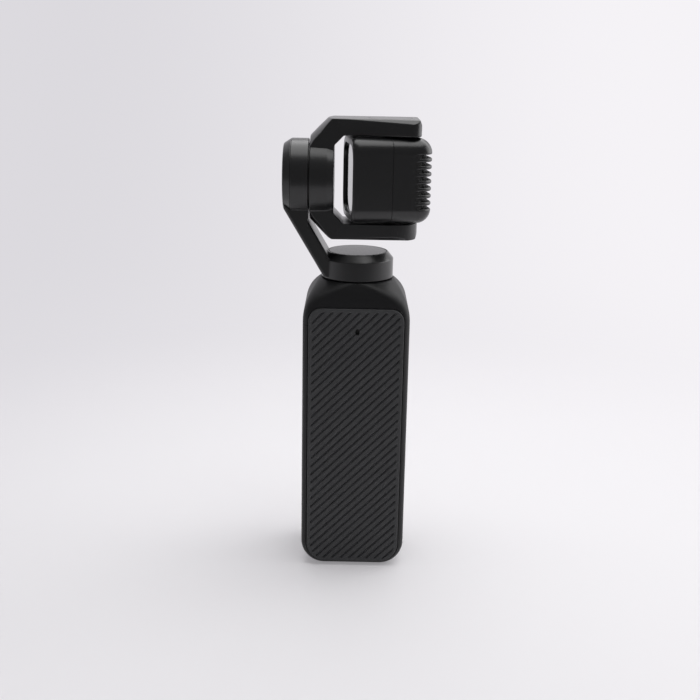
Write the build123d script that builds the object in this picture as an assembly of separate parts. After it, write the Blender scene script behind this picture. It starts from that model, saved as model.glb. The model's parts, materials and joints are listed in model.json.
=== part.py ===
from build123d import *
import math
import os

# Pocket gimbal camera, in millimetres. The origin lies on the flat base, on the pan axis; +Z is up.
# The ribbed grip side faces -Y, the turning screen faces +Y, the roll motor is at -X and the fins of
# the camera head point to +X. The pan axis is Z, the roll axis is X, and the tilt axis is upright
# at rest, so that the head lies folded inside the yoke.

# Overall sizes
OVERALL_HEIGHT = 139.7
HANDLE_WIDTH = 32.5
HANDLE_DEPTH = 27.2
HANDLE_WALL = 1.6
NECK_RADIUS = 11.3
SHOULDER_HEIGHT = 12.6
EDGE_RADIUS = 2.6
BASE_CORNER_RADIUS = 7.5
REAR_COVER_DEPTH = 4.1
LIP_DEPTH = 1.2
LIP_THICKNESS = 0.8

# Clearances
SEAT = 0.03
RUN = 0.05
PLATE_GAP = 0.12
BUTTON_GAP = 0.15

# Ribbed grip plate
GRIP_SIDE = 1.8
GRIP_BOTTOM_Z = 1.5
GRIP_RISE = 5.3
GRIP_TOP_RADIUS = 4.0
GRIP_BOTTOM_RADIUS = 6.0
GRIP_PROUD = 0.4
GRIP_THICKNESS = 1.2
GRIP_BORDER = 1.0
RIB_PITCH = 1.92
RIB_SLOPE = 45.0
GROOVE_WIDTH = 0.8
GROOVE_DEPTH = 0.35
MIC_HOLE_DROP = 7.1
MIC_HOLE_WIDTH = 1.1
MIC_HOLE_LENGTH = 2.0
MIC_SIZE = 3.3
MIC_DEPTH = 1.0

# Screen and its turntable
SCREEN_SIDE = 1.5
SCREEN_BOTTOM_Z = 31.05
SCREEN_RISE = 2.55
SCREEN_CORNER = 4.5
SCREEN_GAP = 0.4
SCREEN_THICKNESS = 5.5
SCREEN_WALL = 1.2
GLASS_THICKNESS = 1.0
PANEL_SIDE = 1.95
PANEL_END = 2.05
PANEL_THICKNESS = 1.9
SPINDLE_RADIUS = 7.5
BUSHING_WALL = 1.3
RETAINER_RADIUS = 9.6
RETAINER_THICKNESS = 1.0
SPINDLE_BORE = 3.0
SPINDLE_SCREW_CIRCLE = 5.4

# Controls under the screen
CONTROL_Z = 14.5
CONTROL_SPACING = 13.0
CONTROL_BOARD_Y = 5.2
CONTROL_BOARD_WIDTH = 26.0
CONTROL_BOARD_LENGTH = 19.0
CONTROL_BOARD_THICKNESS = 0.8
CONTROL_POST_X = 11.6
CONTROL_POST_RADIUS = 1.3
STICK_BASE = 10.4
STICK_EAR_X = 3.9
STICK_RING_RADIUS = 3.6
STICK_RING_BORE = 2.5
STICK_RING_THICKNESS = 1.2
STICK_PIN = 0.5
STICK_INNER_PIN = 0.45
STICK_HUB_RADIUS = 1.5
STICK_STEM_RADIUS = 0.9
STICK_CAP_RADIUS = 4.1
STICK_CAP_THICKNESS = 1.5
STICK_DISH_RADIUS = 12.0
STICK_DISH_DEPTH = 0.4
STICK_HOLE_RADIUS = 5.5
STICK_CAP_PROUD = 2.6
STICK_PIVOT_HEIGHT = 3.0
STICK_PRESS = 0.4
RECORD_RADIUS = 3.6
RECORD_PROUD = 0.6
RECORD_TRAVEL = 0.4
RECORD_FLANGE = 0.8
LIGHT_Z = 24.6
LIGHT_RADIUS = 0.6

# Inner structure of the handle
FRAME_Y = -2.6
FRAME_THICKNESS = 1.2
BATTERY_SIDE_GAP = 2.05
BATTERY_TOP_GAP = 6.0
BATTERY_FRONT_GAP = 0.1
BATTERY_Z = 21.0
BATTERY_GAP = 0.3
BOARD_Y = -1.0
BOARD_THICKNESS = 1.0
BOARD_WIDTH = 19.2
BOARD_TOP_GAP = 1.0
BOARD_SCREW_X = 7.6
BOARD_SCREW_LOW_Z = 14.0
BOARD_SCREW_DROP = 2.0
SHELF_HALF = 6.0
POST_RADIUS = 1.8
POST_SIDE_GAP = 0.85
POST_LOW_Z = 34.5
POST_TOP_GAP = 5.0
PORT_WIDTH = 8.94
PORT_HEIGHT = 3.2
PORT_DEPTH = 7.3
PORT_WALL = 0.35
SHIELD_WIDTH = 15.0
SHIELD_LENGTH = 11.0
SHIELD_HEIGHT = 1.8
SHIELD_SHEET = 0.3
SHIELD_CORNER = 0.8
SHIELD_DROP = 3.5
CARD_SLOT_LENGTH = 11.4
CARD_SLOT_HEIGHT = 1.1
CARD_SOCKET_RIM = 0.6
CARD_SOCKET_DEPTH = 13.0
CARD_SOCKET_HEIGHT = 1.5
POST_GAP = 0.4
SPEAKER_LENGTH = 12.0
SPEAKER_WIDTH = 8.0
SPEAKER_DEPTH = 4.3
VENTS = 4
VENT_HEIGHT = 0.9
LOCK_SLOT_WIDTH = 1.6
LOCK_SLOT_LENGTH = 6.0

# Screws: radius of the shank, of the head and of the hole
COVER_SCREW = 0.6
COVER_SCREW_HEAD = 1.35
SMALL_SCREW = 0.55
SMALL_SCREW_HEAD = 1.1
BOARD_SCREW = 0.48
SCREW_HEAD_HEIGHT = 0.6
SCREW_CLEARANCE = 0.05

# Motors
SHAFT_RADIUS = 1.5
BEARING_RADIUS = 3.0
BEARING_WIDTH = 1.8
STATOR_RADIUS = 7.9
MAGNET_GAP = 0.3
MAGNET_THICKNESS = 1.3
STATOR_TEETH = 9
HUB_FLANGE = 1.6
HUB_FLANGE_RADIUS = 7.2
HUB_TUBE_RADIUS = 4.0
HUB_COLLAR_RADIUS = 4.4
NECK_SCREW_CIRCLE = 5.9
NECK_SCREW_HEAD = 1.0
SHAFT_HEAD = 1.2
SHAFT_HEAD_THICKNESS = 0.7

# Pan motor and the arm that carries the roll motor
PAN_GAP = 0.35
YOKE_CLEARANCE = 4.4
DISC_RADIUS = 11.05
DISC_HEIGHT = 7.75
DISC_WALL = 1.5
DISC_CHAMFER_HEIGHT = 2.1
DISC_CHAMFER_RUN = 1.75
PAN_CAP_RADIUS = 8.8
PAN_CAP_THICKNESS = 0.6
STRUT_THICKNESS = 4.5
STRUT_HALF_DEPTH = 7.0
STRUT_EDGE_RADIUS = 0.9
STRUT_FOOT_Z = 0.65
STRUT_LINE_Z = 1.27
STRUT_LINE_INSET = 0.42
STRUT_TOP_DROP = 10.16
STRUT_TOP_INSET = 1.0
STRUT_LEFT_INSET = 0.3
DRUM_RADIUS = 11.5
DRUM_LEFT_X = -22.7
DRUM_RIGHT_X = -15.1
DRUM_WALL = 1.5
ROLL_COVER_THICKNESS = 2.4
ROLL_COVER_BEVEL = 1.6
ROLL_COVER_POCKET = 8.6
DRUM_FLOOR = 1.1
ROLL_HUB_RADIUS = 3.5
ROLL_BEARING_RADIUS = 2.5
ROLL_STATOR_LENGTH = 3.3

# Yoke round the camera head
YOKE_LEFT_X = -14.7
YOKE_BAR_X = -7.5
YOKE_HALF_SPAN = 17.8
YOKE_ARM = 4.9
YOKE_HALF_DEPTH = 9.0
YOKE_BAR_HALF_DEPTH = 7.0
YOKE_TAPER_X = -6.0
YOKE_BEVEL_HEIGHT = 1.5
YOKE_BEVEL_RUN = 2.0
YOKE_UPPER_REACH = 9.2
YOKE_UPPER_RADIUS = 3.0
YOKE_LOWER_REACH = 7.7
YOKE_LOWER_RADIUS = 6.5
YOKE_END_HEIGHT = 1.8
YOKE_END_RUN = 0.6
YOKE_CONE_LENGTH = 2.2
YOKE_CONE_DROP = 0.5
YOKE_OUTER_DIAGONAL = 6.1
YOKE_INNER_DIAGONAL = 2.9
YOKE_SWEEP_RADIUS = 19.9
TILT_X = 9.0
TILT_SHAFT = 1.0
TILT_BEARING = 1.7
TILT_POCKET = 6.0
TILT_COVER_RADIUS = 6.4
LOWER_COVER_RADIUS = 4.6
LOWER_BEARING = 2.4
TILT_COVER_THICKNESS = 0.8
TILT_FLOOR = 0.9
TILT_HUB = 2.2
TILT_STATOR_RADIUS = 4.5
TILT_ROTOR_RADIUS = 5.6
TILT_MAGNET = 0.8

# Camera head, measured from the tilt axis in its own directions: back, side and up
HEAD_TURN = 6.5
HEAD_FRONT = 12.66
HEAD_BACK = 12.0
HEAD_WIDTH = 22.4
HEAD_GAP = 0.3
HEAD_CORNER = 4.6
HEAD_REAR_ROUND = 4.3
HEAD_FRONT_ROUND = 2.6
HEAD_WALL = 1.3
HEAD_SEAM = -0.4
WINDOW_RIM = 1.2
WINDOW_HEIGHT = 21.7
WINDOW_CORNER = 3.6
WINDOW_RECESS = 0.45
WINDOW_THICKNESS = 0.8
WINDOW_LEDGE = 0.7
FIN_PITCH = 2.13
FIN_SLOT = 1.0
FIN_SLOTS = 8
FIN_DEPTH = 2.2
FIN_START = 6.2
FIN_ROUND = 4.5
LENS_RADIUS = 6.2
LENS_WALL = 0.9
LENS_CURVE = 14.0
BRACKET_GAP = 0.2
BRACKET_RAIL = 1.4
SENSOR_BOARD_GAP = 0.9
SENSOR_BOARD_THICKNESS = 0.8
SENSOR_BOARD_BACK = 2.8
SENSOR_SCREW_SIDE = 5.0
SENSOR_SCREW_EDGE = 0.9
IMAGE_SENSOR_WIDTH = 11.2
IMAGE_SENSOR_HEIGHT = 14.0
IMAGE_SENSOR_DEPTH = 1.4
SHAFT_OPENING = 2.0

# Places worked out from the sizes above
ROLL_Z = OVERALL_HEIGHT - YOKE_HALF_SPAN
DISC_TOP_Z = ROLL_Z - YOKE_HALF_SPAN - YOKE_CLEARANCE
DISC_Z = DISC_TOP_Z - DISC_HEIGHT
NECK_Z = DISC_Z - PAN_GAP
BODY_HEIGHT = NECK_Z - SHOULDER_HEIGHT
FRONT_Y = -HANDLE_DEPTH / 2
REAR_Y = HANDLE_DEPTH / 2
SPLIT_Y = REAR_Y - REAR_COVER_DEPTH
INNER_REAR_Y = REAR_Y - HANDLE_WALL
SCREEN_Y = REAR_Y + SCREEN_GAP
SCREEN_TOP_Z = BODY_HEIGHT + SCREEN_RISE
SCREEN_Z = (SCREEN_BOTTOM_Z + SCREEN_TOP_Z) / 2
SCREEN_LENGTH = SCREEN_TOP_Z - SCREEN_BOTTOM_Z
SCREEN_WIDTH = HANDLE_WIDTH - 2 * SCREEN_SIDE
PANEL_WIDTH = SCREEN_WIDTH - 2 * PANEL_SIDE
PANEL_LENGTH = SCREEN_LENGTH - 2 * PANEL_END
GRIP_TOP_Z = BODY_HEIGHT + GRIP_RISE
GRIP_WIDTH = HANDLE_WIDTH - 2 * GRIP_SIDE
MIC_HOLE_Z = GRIP_TOP_Z - MIC_HOLE_DROP
FRAME_BACK_Y = FRAME_Y + FRAME_THICKNESS
BOARD_BACK_Y = BOARD_Y + BOARD_THICKNESS
BOARD_TOP_Z = BODY_HEIGHT - BOARD_TOP_GAP
BATTERY_WIDTH = HANDLE_WIDTH - 2 * HANDLE_WALL - 2 * BATTERY_SIDE_GAP
BATTERY_LENGTH = BODY_HEIGHT - BATTERY_TOP_GAP - BATTERY_Z
BATTERY_FRONT_Y = FRONT_Y + HANDLE_WALL + BATTERY_FRONT_GAP
POST_X = HANDLE_WIDTH / 2 - HANDLE_WALL - POST_SIDE_GAP - POST_RADIUS
POST_HIGH_Z = BODY_HEIGHT - POST_TOP_GAP
SHIELD_Z = BOARD_TOP_Z - SHIELD_DROP - SHIELD_LENGTH / 2
SPEAKER_Z = POST_LOW_Z + POST_RADIUS + POST_GAP + SPEAKER_LENGTH / 2
CARD_Z = POST_LOW_Z + POST_RADIUS + POST_GAP + CARD_SOCKET_RIM + CARD_SLOT_LENGTH / 2
PORT_Y = BOARD_Y - PORT_HEIGHT / 2
CONTROL_BACK_Y = CONTROL_BOARD_Y + CONTROL_BOARD_THICKNESS
STICK_X = CONTROL_SPACING / 2
RECORD_X = -CONTROL_SPACING / 2
STICK_PIVOT_Y = CONTROL_BACK_Y + STICK_PIVOT_HEIGHT
STICK_CAP_Y = REAR_Y + STICK_CAP_PROUD - STICK_CAP_THICKNESS
BEARING_BORE = SHAFT_RADIUS + RUN
HUB_BORE = BEARING_RADIUS + SEAT
MAGNET_INNER = STATOR_RADIUS + MAGNET_GAP
MAGNET_OUTER = MAGNET_INNER + MAGNET_THICKNESS
DISC_BORE = DISC_RADIUS - DISC_WALL
ROOF_Z = DISC_TOP_Z - PAN_CAP_THICKNESS - 1.2
COVER_SEAM_X = DRUM_LEFT_X + ROLL_COVER_THICKNESS
DRUM_BORE = DRUM_RADIUS - DRUM_WALL
YOKE_INNER = YOKE_HALF_SPAN - YOKE_ARM
HEAD_HALF_HEIGHT = YOKE_INNER - HEAD_GAP
HEAD_HALF_WIDTH = HEAD_WIDTH / 2
WINDOW_WIDTH = HEAD_WIDTH - 2 * WINDOW_RIM
HEAD_INNER_HALF = HEAD_HALF_WIDTH - FIN_DEPTH - HEAD_WALL
BRACKET_TOP = HEAD_HALF_HEIGHT - HEAD_WALL - BRACKET_GAP
SENSOR_BOARD_HALF = BRACKET_TOP - BRACKET_RAIL - SENSOR_BOARD_GAP
SENSOR_SCREW_UP = SENSOR_BOARD_HALF - SENSOR_SCREW_EDGE
DRUM_FLOOR_X = COVER_SEAM_X + DRUM_FLOOR
TILT_FLOOR_Z = ROLL_Z + YOKE_INNER + TILT_FLOOR
TILT_ROOF_Z = ROLL_Z + YOKE_HALF_SPAN - TILT_COVER_THICKNESS
WINDOW_BACK = WINDOW_RECESS + WINDOW_THICKNESS - HEAD_FRONT
SCREW_ANGLES = (90, 210, 330)


def along_z(sketch, low, high):
    """Carry a sketch drawn in X and Y from one height to another."""
    return extrude(Pos(0, 0, low) * sketch, amount=high - low)


def along_y(sketch, low, high):
    """Carry a sketch drawn in X and Z from one depth to another."""
    return extrude(Plane.XZ.offset(-high) * sketch, amount=high - low)


def along_x(sketch, low, high):
    """Carry a sketch drawn in Y and Z from one X to another."""
    return extrude(Plane.YZ.offset(low) * sketch, amount=high - low)


def polygon(points):
    """Closed face through the points, drawn in its own X and Y."""
    return make_face(Polyline(*points, close=True))


def disc_z(radius, low, high, x=0.0, y=0.0):
    """Upright cylinder between two heights."""
    return along_z(Pos(x, y) * Circle(radius), low, high)


def tube_z(outer, inner, low, high, x=0.0, y=0.0):
    """Upright tube between two heights."""
    return disc_z(outer, low, high, x, y) - disc_z(inner, low, high, x, y)


def disc_y(radius, low, high, x=0.0, z=0.0):
    """Cylinder along Y between two depths."""
    return along_y(Pos(x, z) * Circle(radius), low, high)


def disc_x(radius, low, high, y=0.0, z=0.0):
    """Cylinder along X between two places."""
    return along_x(Pos(y, z) * Circle(radius), low, high)


def block(x0, x1, y0, y1, z0, z1):
    """Rectangular block between two corners."""
    return along_z(Pos((x0 + x1) / 2, (y0 + y1) / 2) * Rectangle(x1 - x0, y1 - y0), z0, z1)


def joined(shapes):
    """One compound of separate solids, for a group of like pieces."""
    return Compound(children=[solid for shape in shapes for solid in shape.solids()])


def save(name, shape):
    """Write one sub-part under its node name."""
    shape.label = name
    export_step(shape, f"parts/{name}.step")


def body_form(inset=0.0):
    """Straight lower part of the handle, moved inwards by inset, up to the shoulder's seam."""
    width = HANDLE_WIDTH - 2 * inset
    outline = Pos(0, inset) * Rectangle(width, BODY_HEIGHT - inset, align=(Align.CENTER, Align.MIN))
    outline = fillet(outline.vertices().sort_by(Axis.Y)[:2], BASE_CORNER_RADIUS - inset)
    form = along_y(outline, FRONT_Y + inset, REAR_Y - inset)
    faces = form.faces().sort_by(Axis.Y)
    rims = [
        edge
        for face in (faces[0], faces[-1])
        for edge in face.edges()
        if edge.center().Z < BODY_HEIGHT - 0.01
    ]
    return fillet(rims, EDGE_RADIUS - inset / 2)


def shoulder_form(inset=0.0):
    """Shoulder lofted from the handle's rounded rectangle to the round neck, moved inwards by inset.

    The half width shrinks with the height share to the power 2.4 and the half depth with its cube,
    while the corner radius grows with its cube until the section is the neck's circle.
    """
    top = NECK_Z - inset
    sections = []
    for share in (0.0, 0.2, 0.4, 0.58, 0.74, 0.88, 1.0):
        half_x = NECK_RADIUS + (HANDLE_WIDTH / 2 - NECK_RADIUS) * (1 - share**2.4) - inset
        half_y = NECK_RADIUS + (HANDLE_DEPTH / 2 - NECK_RADIUS) * (1 - share**3) - inset
        start = EDGE_RADIUS - inset / 2
        corner = start + (NECK_RADIUS - inset - 0.1 - start) * share**3
        section = RectangleRounded(2 * half_x, 2 * half_y, corner)
        sections.append(Pos(0, 0, BODY_HEIGHT + (top - BODY_HEIGHT) * share) * section)
    return loft(sections)


def grip_outline(inset=0.0):
    """Outline of the grip plate in X and Z, moved inwards by inset, or outwards if it is negative."""
    low, high = GRIP_BOTTOM_Z + inset, GRIP_TOP_Z - inset
    face = Pos(0, low) * Rectangle(GRIP_WIDTH - 2 * inset, high - low, align=(Align.CENTER, Align.MIN))
    face = fillet(face.vertices().sort_by(Axis.Y)[:2], GRIP_BOTTOM_RADIUS - inset)
    return fillet(face.vertices().sort_by(Axis.Y)[-2:], GRIP_TOP_RADIUS - inset)


def mic_hole(low, high):
    """Upright oval hole of the front microphone, between two depths."""
    hole = SlotOverall(MIC_HOLE_LENGTH, MIC_HOLE_WIDTH, rotation=90)
    return along_y(Pos(0, MIC_HOLE_Z) * hole, low, high)


def grip_recess():
    """Room for the grip plate in the front of the handle."""
    back = FRONT_Y - GRIP_PROUD + GRIP_THICKNESS
    return along_y(grip_outline(-PLATE_GAP), FRONT_Y - 2 * GRIP_PROUD, back)


def grip_plate():
    """Front plate with diagonal ribs that rise to the right inside a smooth border."""
    face_y = FRONT_Y - GRIP_PROUD
    plate = along_y(grip_outline(), face_y, face_y + GRIP_THICKNESS)
    rim = plate.faces().sort_by(Axis.Y)[0].edges()
    plate = chamfer(rim, GROOVE_DEPTH / 2)
    field = along_y(grip_outline(GRIP_BORDER), face_y - 0.1, face_y + GROOVE_DEPTH)
    half, flank = GROOVE_WIDTH / 2, GROOVE_DEPTH / 3
    foot = half - flank
    section = polygon([(-half, -0.1), (half, -0.1), (foot, GROOVE_DEPTH), (-foot, GROOVE_DEPTH)])
    reach = GRIP_WIDTH + GRIP_TOP_Z - GRIP_BOTTOM_Z
    rod = extrude(Plane.YZ.offset(-reach / 2) * Rot(0, 0, -90) * section, amount=reach)
    rod = Rot(0, -RIB_SLOPE, 0) * rod
    slope = math.radians(RIB_SLOPE)
    height = GRIP_TOP_Z - GRIP_BOTTOM_Z
    span = GRIP_WIDTH * math.sin(slope) + height * math.cos(slope)
    count = int(span / RIB_PITCH) + 1
    middle = (GRIP_TOP_Z + GRIP_BOTTOM_Z) / 2
    grooves = []
    for number in range(count):
        offset = (number - (count - 1) / 2) * RIB_PITCH
        place = Pos(-offset * math.sin(slope), face_y, middle + offset * math.cos(slope))
        groove = (place * rod) & field
        grooves += groove.solids()
    return plate - grooves - mic_hole(face_y - 1, face_y + GRIP_THICKNESS + 1)


def post_places():
    """The four places, in X and Z, where screws hold the rear cover on the frame."""
    return [(side * POST_X, height) for side in (-1, 1) for height in (POST_LOW_Z, POST_HIGH_Z)]


def handle_shell():
    """Walls of the handle below the shoulder's seam, before they are split into front and rear."""
    return body_form() - body_form(HANDLE_WALL)


def handle_housing():
    """Front and side shell, with the recess of the grip plate and the port, card and speaker openings."""
    keep = block(-HANDLE_WIDTH, HANDLE_WIDTH, FRONT_Y - 1, SPLIT_Y, -1, BODY_HEIGHT)
    shell = (handle_shell() & keep) - grip_recess() - mic_hole(FRONT_Y - 1, FRONT_Y + HANDLE_WALL + 1)
    port = SlotOverall(PORT_WIDTH + 2 * BUTTON_GAP, PORT_HEIGHT + 2 * BUTTON_GAP)
    shell -= along_z(Pos(0, PORT_Y) * port, -1, HANDLE_WALL + 1)
    card_y = BOARD_BACK_Y + CARD_SLOT_HEIGHT / 2 + 0.2
    slot = Pos(card_y, CARD_Z) * Rectangle(CARD_SLOT_HEIGHT, CARD_SLOT_LENGTH)
    shell -= along_x(slot, -HANDLE_WIDTH, -HANDLE_WIDTH / 2 + 2 * HANDLE_WALL)
    speaker_y = BOARD_BACK_Y + 1 + SPEAKER_DEPTH / 2
    for row in range(VENTS):
        height = SPEAKER_Z + (row - (VENTS - 1) / 2) * SPEAKER_LENGTH / (VENTS + 1)
        vent = Pos(speaker_y, height) * SlotOverall(SPEAKER_DEPTH - 0.5, VENT_HEIGHT)
        shell -= along_x(vent, HANDLE_WIDTH / 2 - 2 * HANDLE_WALL, HANDLE_WIDTH)
    for side in (-1, 1):
        lock_x = side * (PORT_WIDTH / 2 + LOCK_SLOT_WIDTH + 1)
        lock = RectangleRounded(LOCK_SLOT_WIDTH, LOCK_SLOT_LENGTH, LOCK_SLOT_WIDTH / 3)
        shell -= along_z(Pos(lock_x, PORT_Y) * lock, -1, HANDLE_WALL * 0.7)
    return shell


def rear_cover():
    """Rear shell with the turntable's hole, the control holes and the posts of the control board."""
    keep = block(-HANDLE_WIDTH, HANDLE_WIDTH, SPLIT_Y, REAR_Y + 1, -1, BODY_HEIGHT)
    cover = handle_shell() & keep
    for x, z in post_places():
        cover += disc_y(POST_RADIUS, SPLIT_Y - 2, INNER_REAR_Y + 0.1, x, z)
    for x in (-1, 1):
        for z in (-1, 1):
            place = (x * CONTROL_POST_X, CONTROL_Z + z * (CONTROL_BOARD_LENGTH / 2 - 1.5))
            cover += disc_y(CONTROL_POST_RADIUS, CONTROL_BACK_Y, INNER_REAR_Y + 0.1, *place)
    bushing = SPINDLE_RADIUS + RUN + BUSHING_WALL + SEAT
    cover -= disc_y(bushing, INNER_REAR_Y - 1, REAR_Y + 1, 0, SCREEN_Z)
    cover -= disc_y(STICK_HOLE_RADIUS, INNER_REAR_Y - 1, REAR_Y + 1, STICK_X, CONTROL_Z)
    cover -= disc_y(RECORD_RADIUS + BUTTON_GAP, INNER_REAR_Y - 1, REAR_Y + 1, RECORD_X, CONTROL_Z)
    cover -= disc_y(LIGHT_RADIUS + SEAT, INNER_REAR_Y - 1, REAR_Y + 1, 0, LIGHT_Z)
    for x, z in post_places():
        cover -= disc_y(COVER_SCREW + 3 * SCREW_CLEARANCE, SPLIT_Y - 3, REAR_Y + 1, x, z)
        cover -= disc_y(COVER_SCREW_HEAD + 2 * SCREW_CLEARANCE, REAR_Y - 1.0, REAR_Y + 1, x, z)
    return cover


def handle_section(inset):
    """Level section of the handle's straight part, moved inwards by inset."""
    return RectangleRounded(HANDLE_WIDTH - 2 * inset, HANDLE_DEPTH - 2 * inset, EDGE_RADIUS - inset / 2)


def shoulder_cover():
    """Top shell that curves in to the neck, with a lip inside the housing and the hub's hole."""
    cover = shoulder_form() - shoulder_form(HANDLE_WALL)
    inner = HANDLE_WALL + PLATE_GAP + LIP_THICKNESS
    lip = handle_section(HANDLE_WALL + PLATE_GAP) - handle_section(inner)
    cover += along_z(lip, BODY_HEIGHT - LIP_DEPTH, BODY_HEIGHT + LIP_THICKNESS)
    root = handle_section(HANDLE_WALL / 2) - handle_section(inner)
    cover += along_z(root, BODY_HEIGHT, BODY_HEIGHT + LIP_THICKNESS)
    inner_front = FRONT_Y + HANDLE_WALL
    room = MIC_SIZE / 2 + 0.4
    roof = MIC_HOLE_Z + room
    cover -= block(-room, room, inner_front, inner_front + MIC_DEPTH + 0.4, BODY_HEIGHT - 2, roof)
    cover -= disc_z(HUB_COLLAR_RADIUS + PLATE_GAP, NECK_Z - 3, NECK_Z + 1)
    bore = SMALL_SCREW + SCREW_CLEARANCE
    for angle in SCREW_ANGLES:
        cover -= Rot(0, 0, angle) * disc_z(bore, NECK_Z - 3, NECK_Z - 0.5, NECK_SCREW_CIRCLE)
    return cover - grip_recess()


def main_frame():
    """Cast plate between battery and board, with the screw posts and the shelf under the pan hub."""
    half = HANDLE_WIDTH / 2 - HANDLE_WALL - 0.4
    frame = block(-half, half, FRAME_Y, FRAME_BACK_Y, PORT_DEPTH + 1.7, BODY_HEIGHT - 1.6)
    for x, z in post_places():
        frame += disc_y(POST_RADIUS, FRAME_BACK_Y - 0.1, SPLIT_Y - 2, x, z)
        frame -= disc_y(COVER_SCREW + SCREW_CLEARANCE, FRAME_BACK_Y + 1, SPLIT_Y, x, z)
    for x, z in board_screw_places():
        frame += disc_y(1.4, FRAME_BACK_Y - 0.1, BOARD_Y, x, z)
        frame -= disc_y(BOARD_SCREW + SCREW_CLEARANCE, FRAME_Y + 0.3, BOARD_Y + 1, x, z)
    shelf_top = NECK_Z - HANDLE_WALL - 2 * HUB_FLANGE - 0.4
    frame += block(-SHELF_HALF, SHELF_HALF, FRAME_Y, FRAME_BACK_Y, BODY_HEIGHT - 2, shelf_top)
    shelf_low = shelf_top - FRAME_THICKNESS
    frame += block(-SHELF_HALF, SHELF_HALF, -SHELF_HALF, SHELF_HALF, shelf_low, shelf_top)
    return frame


def board_screw_places():
    """Places, in X and Z, of the four screws that hold the main board on the frame."""
    heights = (BOARD_SCREW_LOW_Z, BOARD_TOP_Z - BOARD_SCREW_DROP)
    return [(side * BOARD_SCREW_X, height) for side in (-1, 1) for height in heights]


def battery_cell():
    """Flat rechargeable cell with rounded long edges, in front of the frame."""
    back = FRAME_Y - BATTERY_GAP
    depth = back - BATTERY_FRONT_Y
    face = Pos(0, back - depth / 2) * RectangleRounded(BATTERY_WIDTH, depth, depth / 6)
    return along_z(face, BATTERY_Z, BATTERY_Z + BATTERY_LENGTH)


def main_board():
    """Main circuit board behind the frame, which carries the port at its lower end."""
    half = BOARD_WIDTH / 2
    board = block(-half, half, BOARD_Y, BOARD_BACK_Y, HANDLE_WALL + 0.3, BOARD_TOP_Z)
    for x, z in board_screw_places():
        board -= disc_y(0.7, BOARD_Y - 1, BOARD_BACK_Y + 1, x, z)
    return board


def board_screws():
    """Four pan-head screws of the main board."""
    screws = []
    for x, z in board_screw_places():
        shank = disc_y(BOARD_SCREW, FRAME_Y + 0.4, BOARD_BACK_Y + 0.1, x, z)
        head = disc_y(SMALL_SCREW_HEAD, BOARD_BACK_Y, BOARD_BACK_Y + SCREW_HEAD_HEIGHT, x, z)
        screws.append(shank + head)
    return joined(screws)


def processor_shield():
    """Pressed metal lid over the processor on the main board."""
    face = Pos(0, SHIELD_Z) * RectangleRounded(SHIELD_WIDTH, SHIELD_LENGTH, SHIELD_CORNER)
    lid = along_y(face, BOARD_BACK_Y, BOARD_BACK_Y + SHIELD_HEIGHT)
    inner = Pos(0, SHIELD_Z) * RectangleRounded(
        SHIELD_WIDTH - 2 * SHIELD_SHEET, SHIELD_LENGTH - 2 * SHIELD_SHEET, SHIELD_CORNER - SHIELD_SHEET
    )
    return lid - along_y(inner, BOARD_BACK_Y - 1, BOARD_BACK_Y + SHIELD_HEIGHT - SHIELD_SHEET)


def usb_port():
    """Charging and data port: an oval metal shell round a thin tongue."""
    shell = SlotOverall(PORT_WIDTH, PORT_HEIGHT)
    bore = SlotOverall(PORT_WIDTH - 2 * PORT_WALL, PORT_HEIGHT - 2 * PORT_WALL)
    bottom = HANDLE_WALL * 0.2
    port = along_z(shell, bottom, bottom + PORT_DEPTH)
    port -= along_z(bore, bottom - 1, bottom + PORT_DEPTH - 1.2)
    tongue = RectangleRounded(6.5, 0.7, 0.2)
    return Pos(0, PORT_Y) * (port + along_z(tongue, bottom + 1.0, bottom + PORT_DEPTH - 1.0))


def card_socket():
    """Memory card socket on the board, open to the slot in the left wall."""
    left = -HANDLE_WIDTH / 2 + HANDLE_WALL + 0.3
    size = CARD_SLOT_LENGTH / 2 + CARD_SOCKET_RIM
    back = BOARD_BACK_Y + CARD_SOCKET_HEIGHT
    body = block(left, left + CARD_SOCKET_DEPTH, BOARD_BACK_Y, back, CARD_Z - size, CARD_Z + size)
    mouth = CARD_SLOT_LENGTH / 2 - 0.1
    low = BOARD_BACK_Y + 0.3
    end = left + CARD_SOCKET_DEPTH - 1
    return body - block(left - 1, end, low, low + 0.8, CARD_Z - mouth, CARD_Z + mouth)


def speaker():
    """Sealed loudspeaker box against the vents in the right wall."""
    right = HANDLE_WIDTH / 2 - HANDLE_WALL - 0.3
    low = BOARD_BACK_Y + 1
    body = block(
        right - SPEAKER_WIDTH, right, low, low + SPEAKER_DEPTH,
        SPEAKER_Z - SPEAKER_LENGTH / 2, SPEAKER_Z + SPEAKER_LENGTH / 2,
    )
    return fillet(body.edges().filter_by(Axis.X), 0.8)


def front_microphone():
    """Small microphone can behind the oval hole in the grip plate."""
    half = MIC_SIZE / 2
    front = FRONT_Y + HANDLE_WALL
    can = block(-half, half, front, front + MIC_DEPTH, MIC_HOLE_Z - half, MIC_HOLE_Z + half)
    return can - disc_y(0.4, FRONT_Y, front + MIC_DEPTH / 2, 0, MIC_HOLE_Z)


def control_board():
    """Small circuit board under the joystick and the record button."""
    side, half = CONTROL_BOARD_WIDTH / 2, CONTROL_BOARD_LENGTH / 2
    return block(-side, side, CONTROL_BOARD_Y, CONTROL_BACK_Y, CONTROL_Z - half, CONTROL_Z + half)


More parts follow.
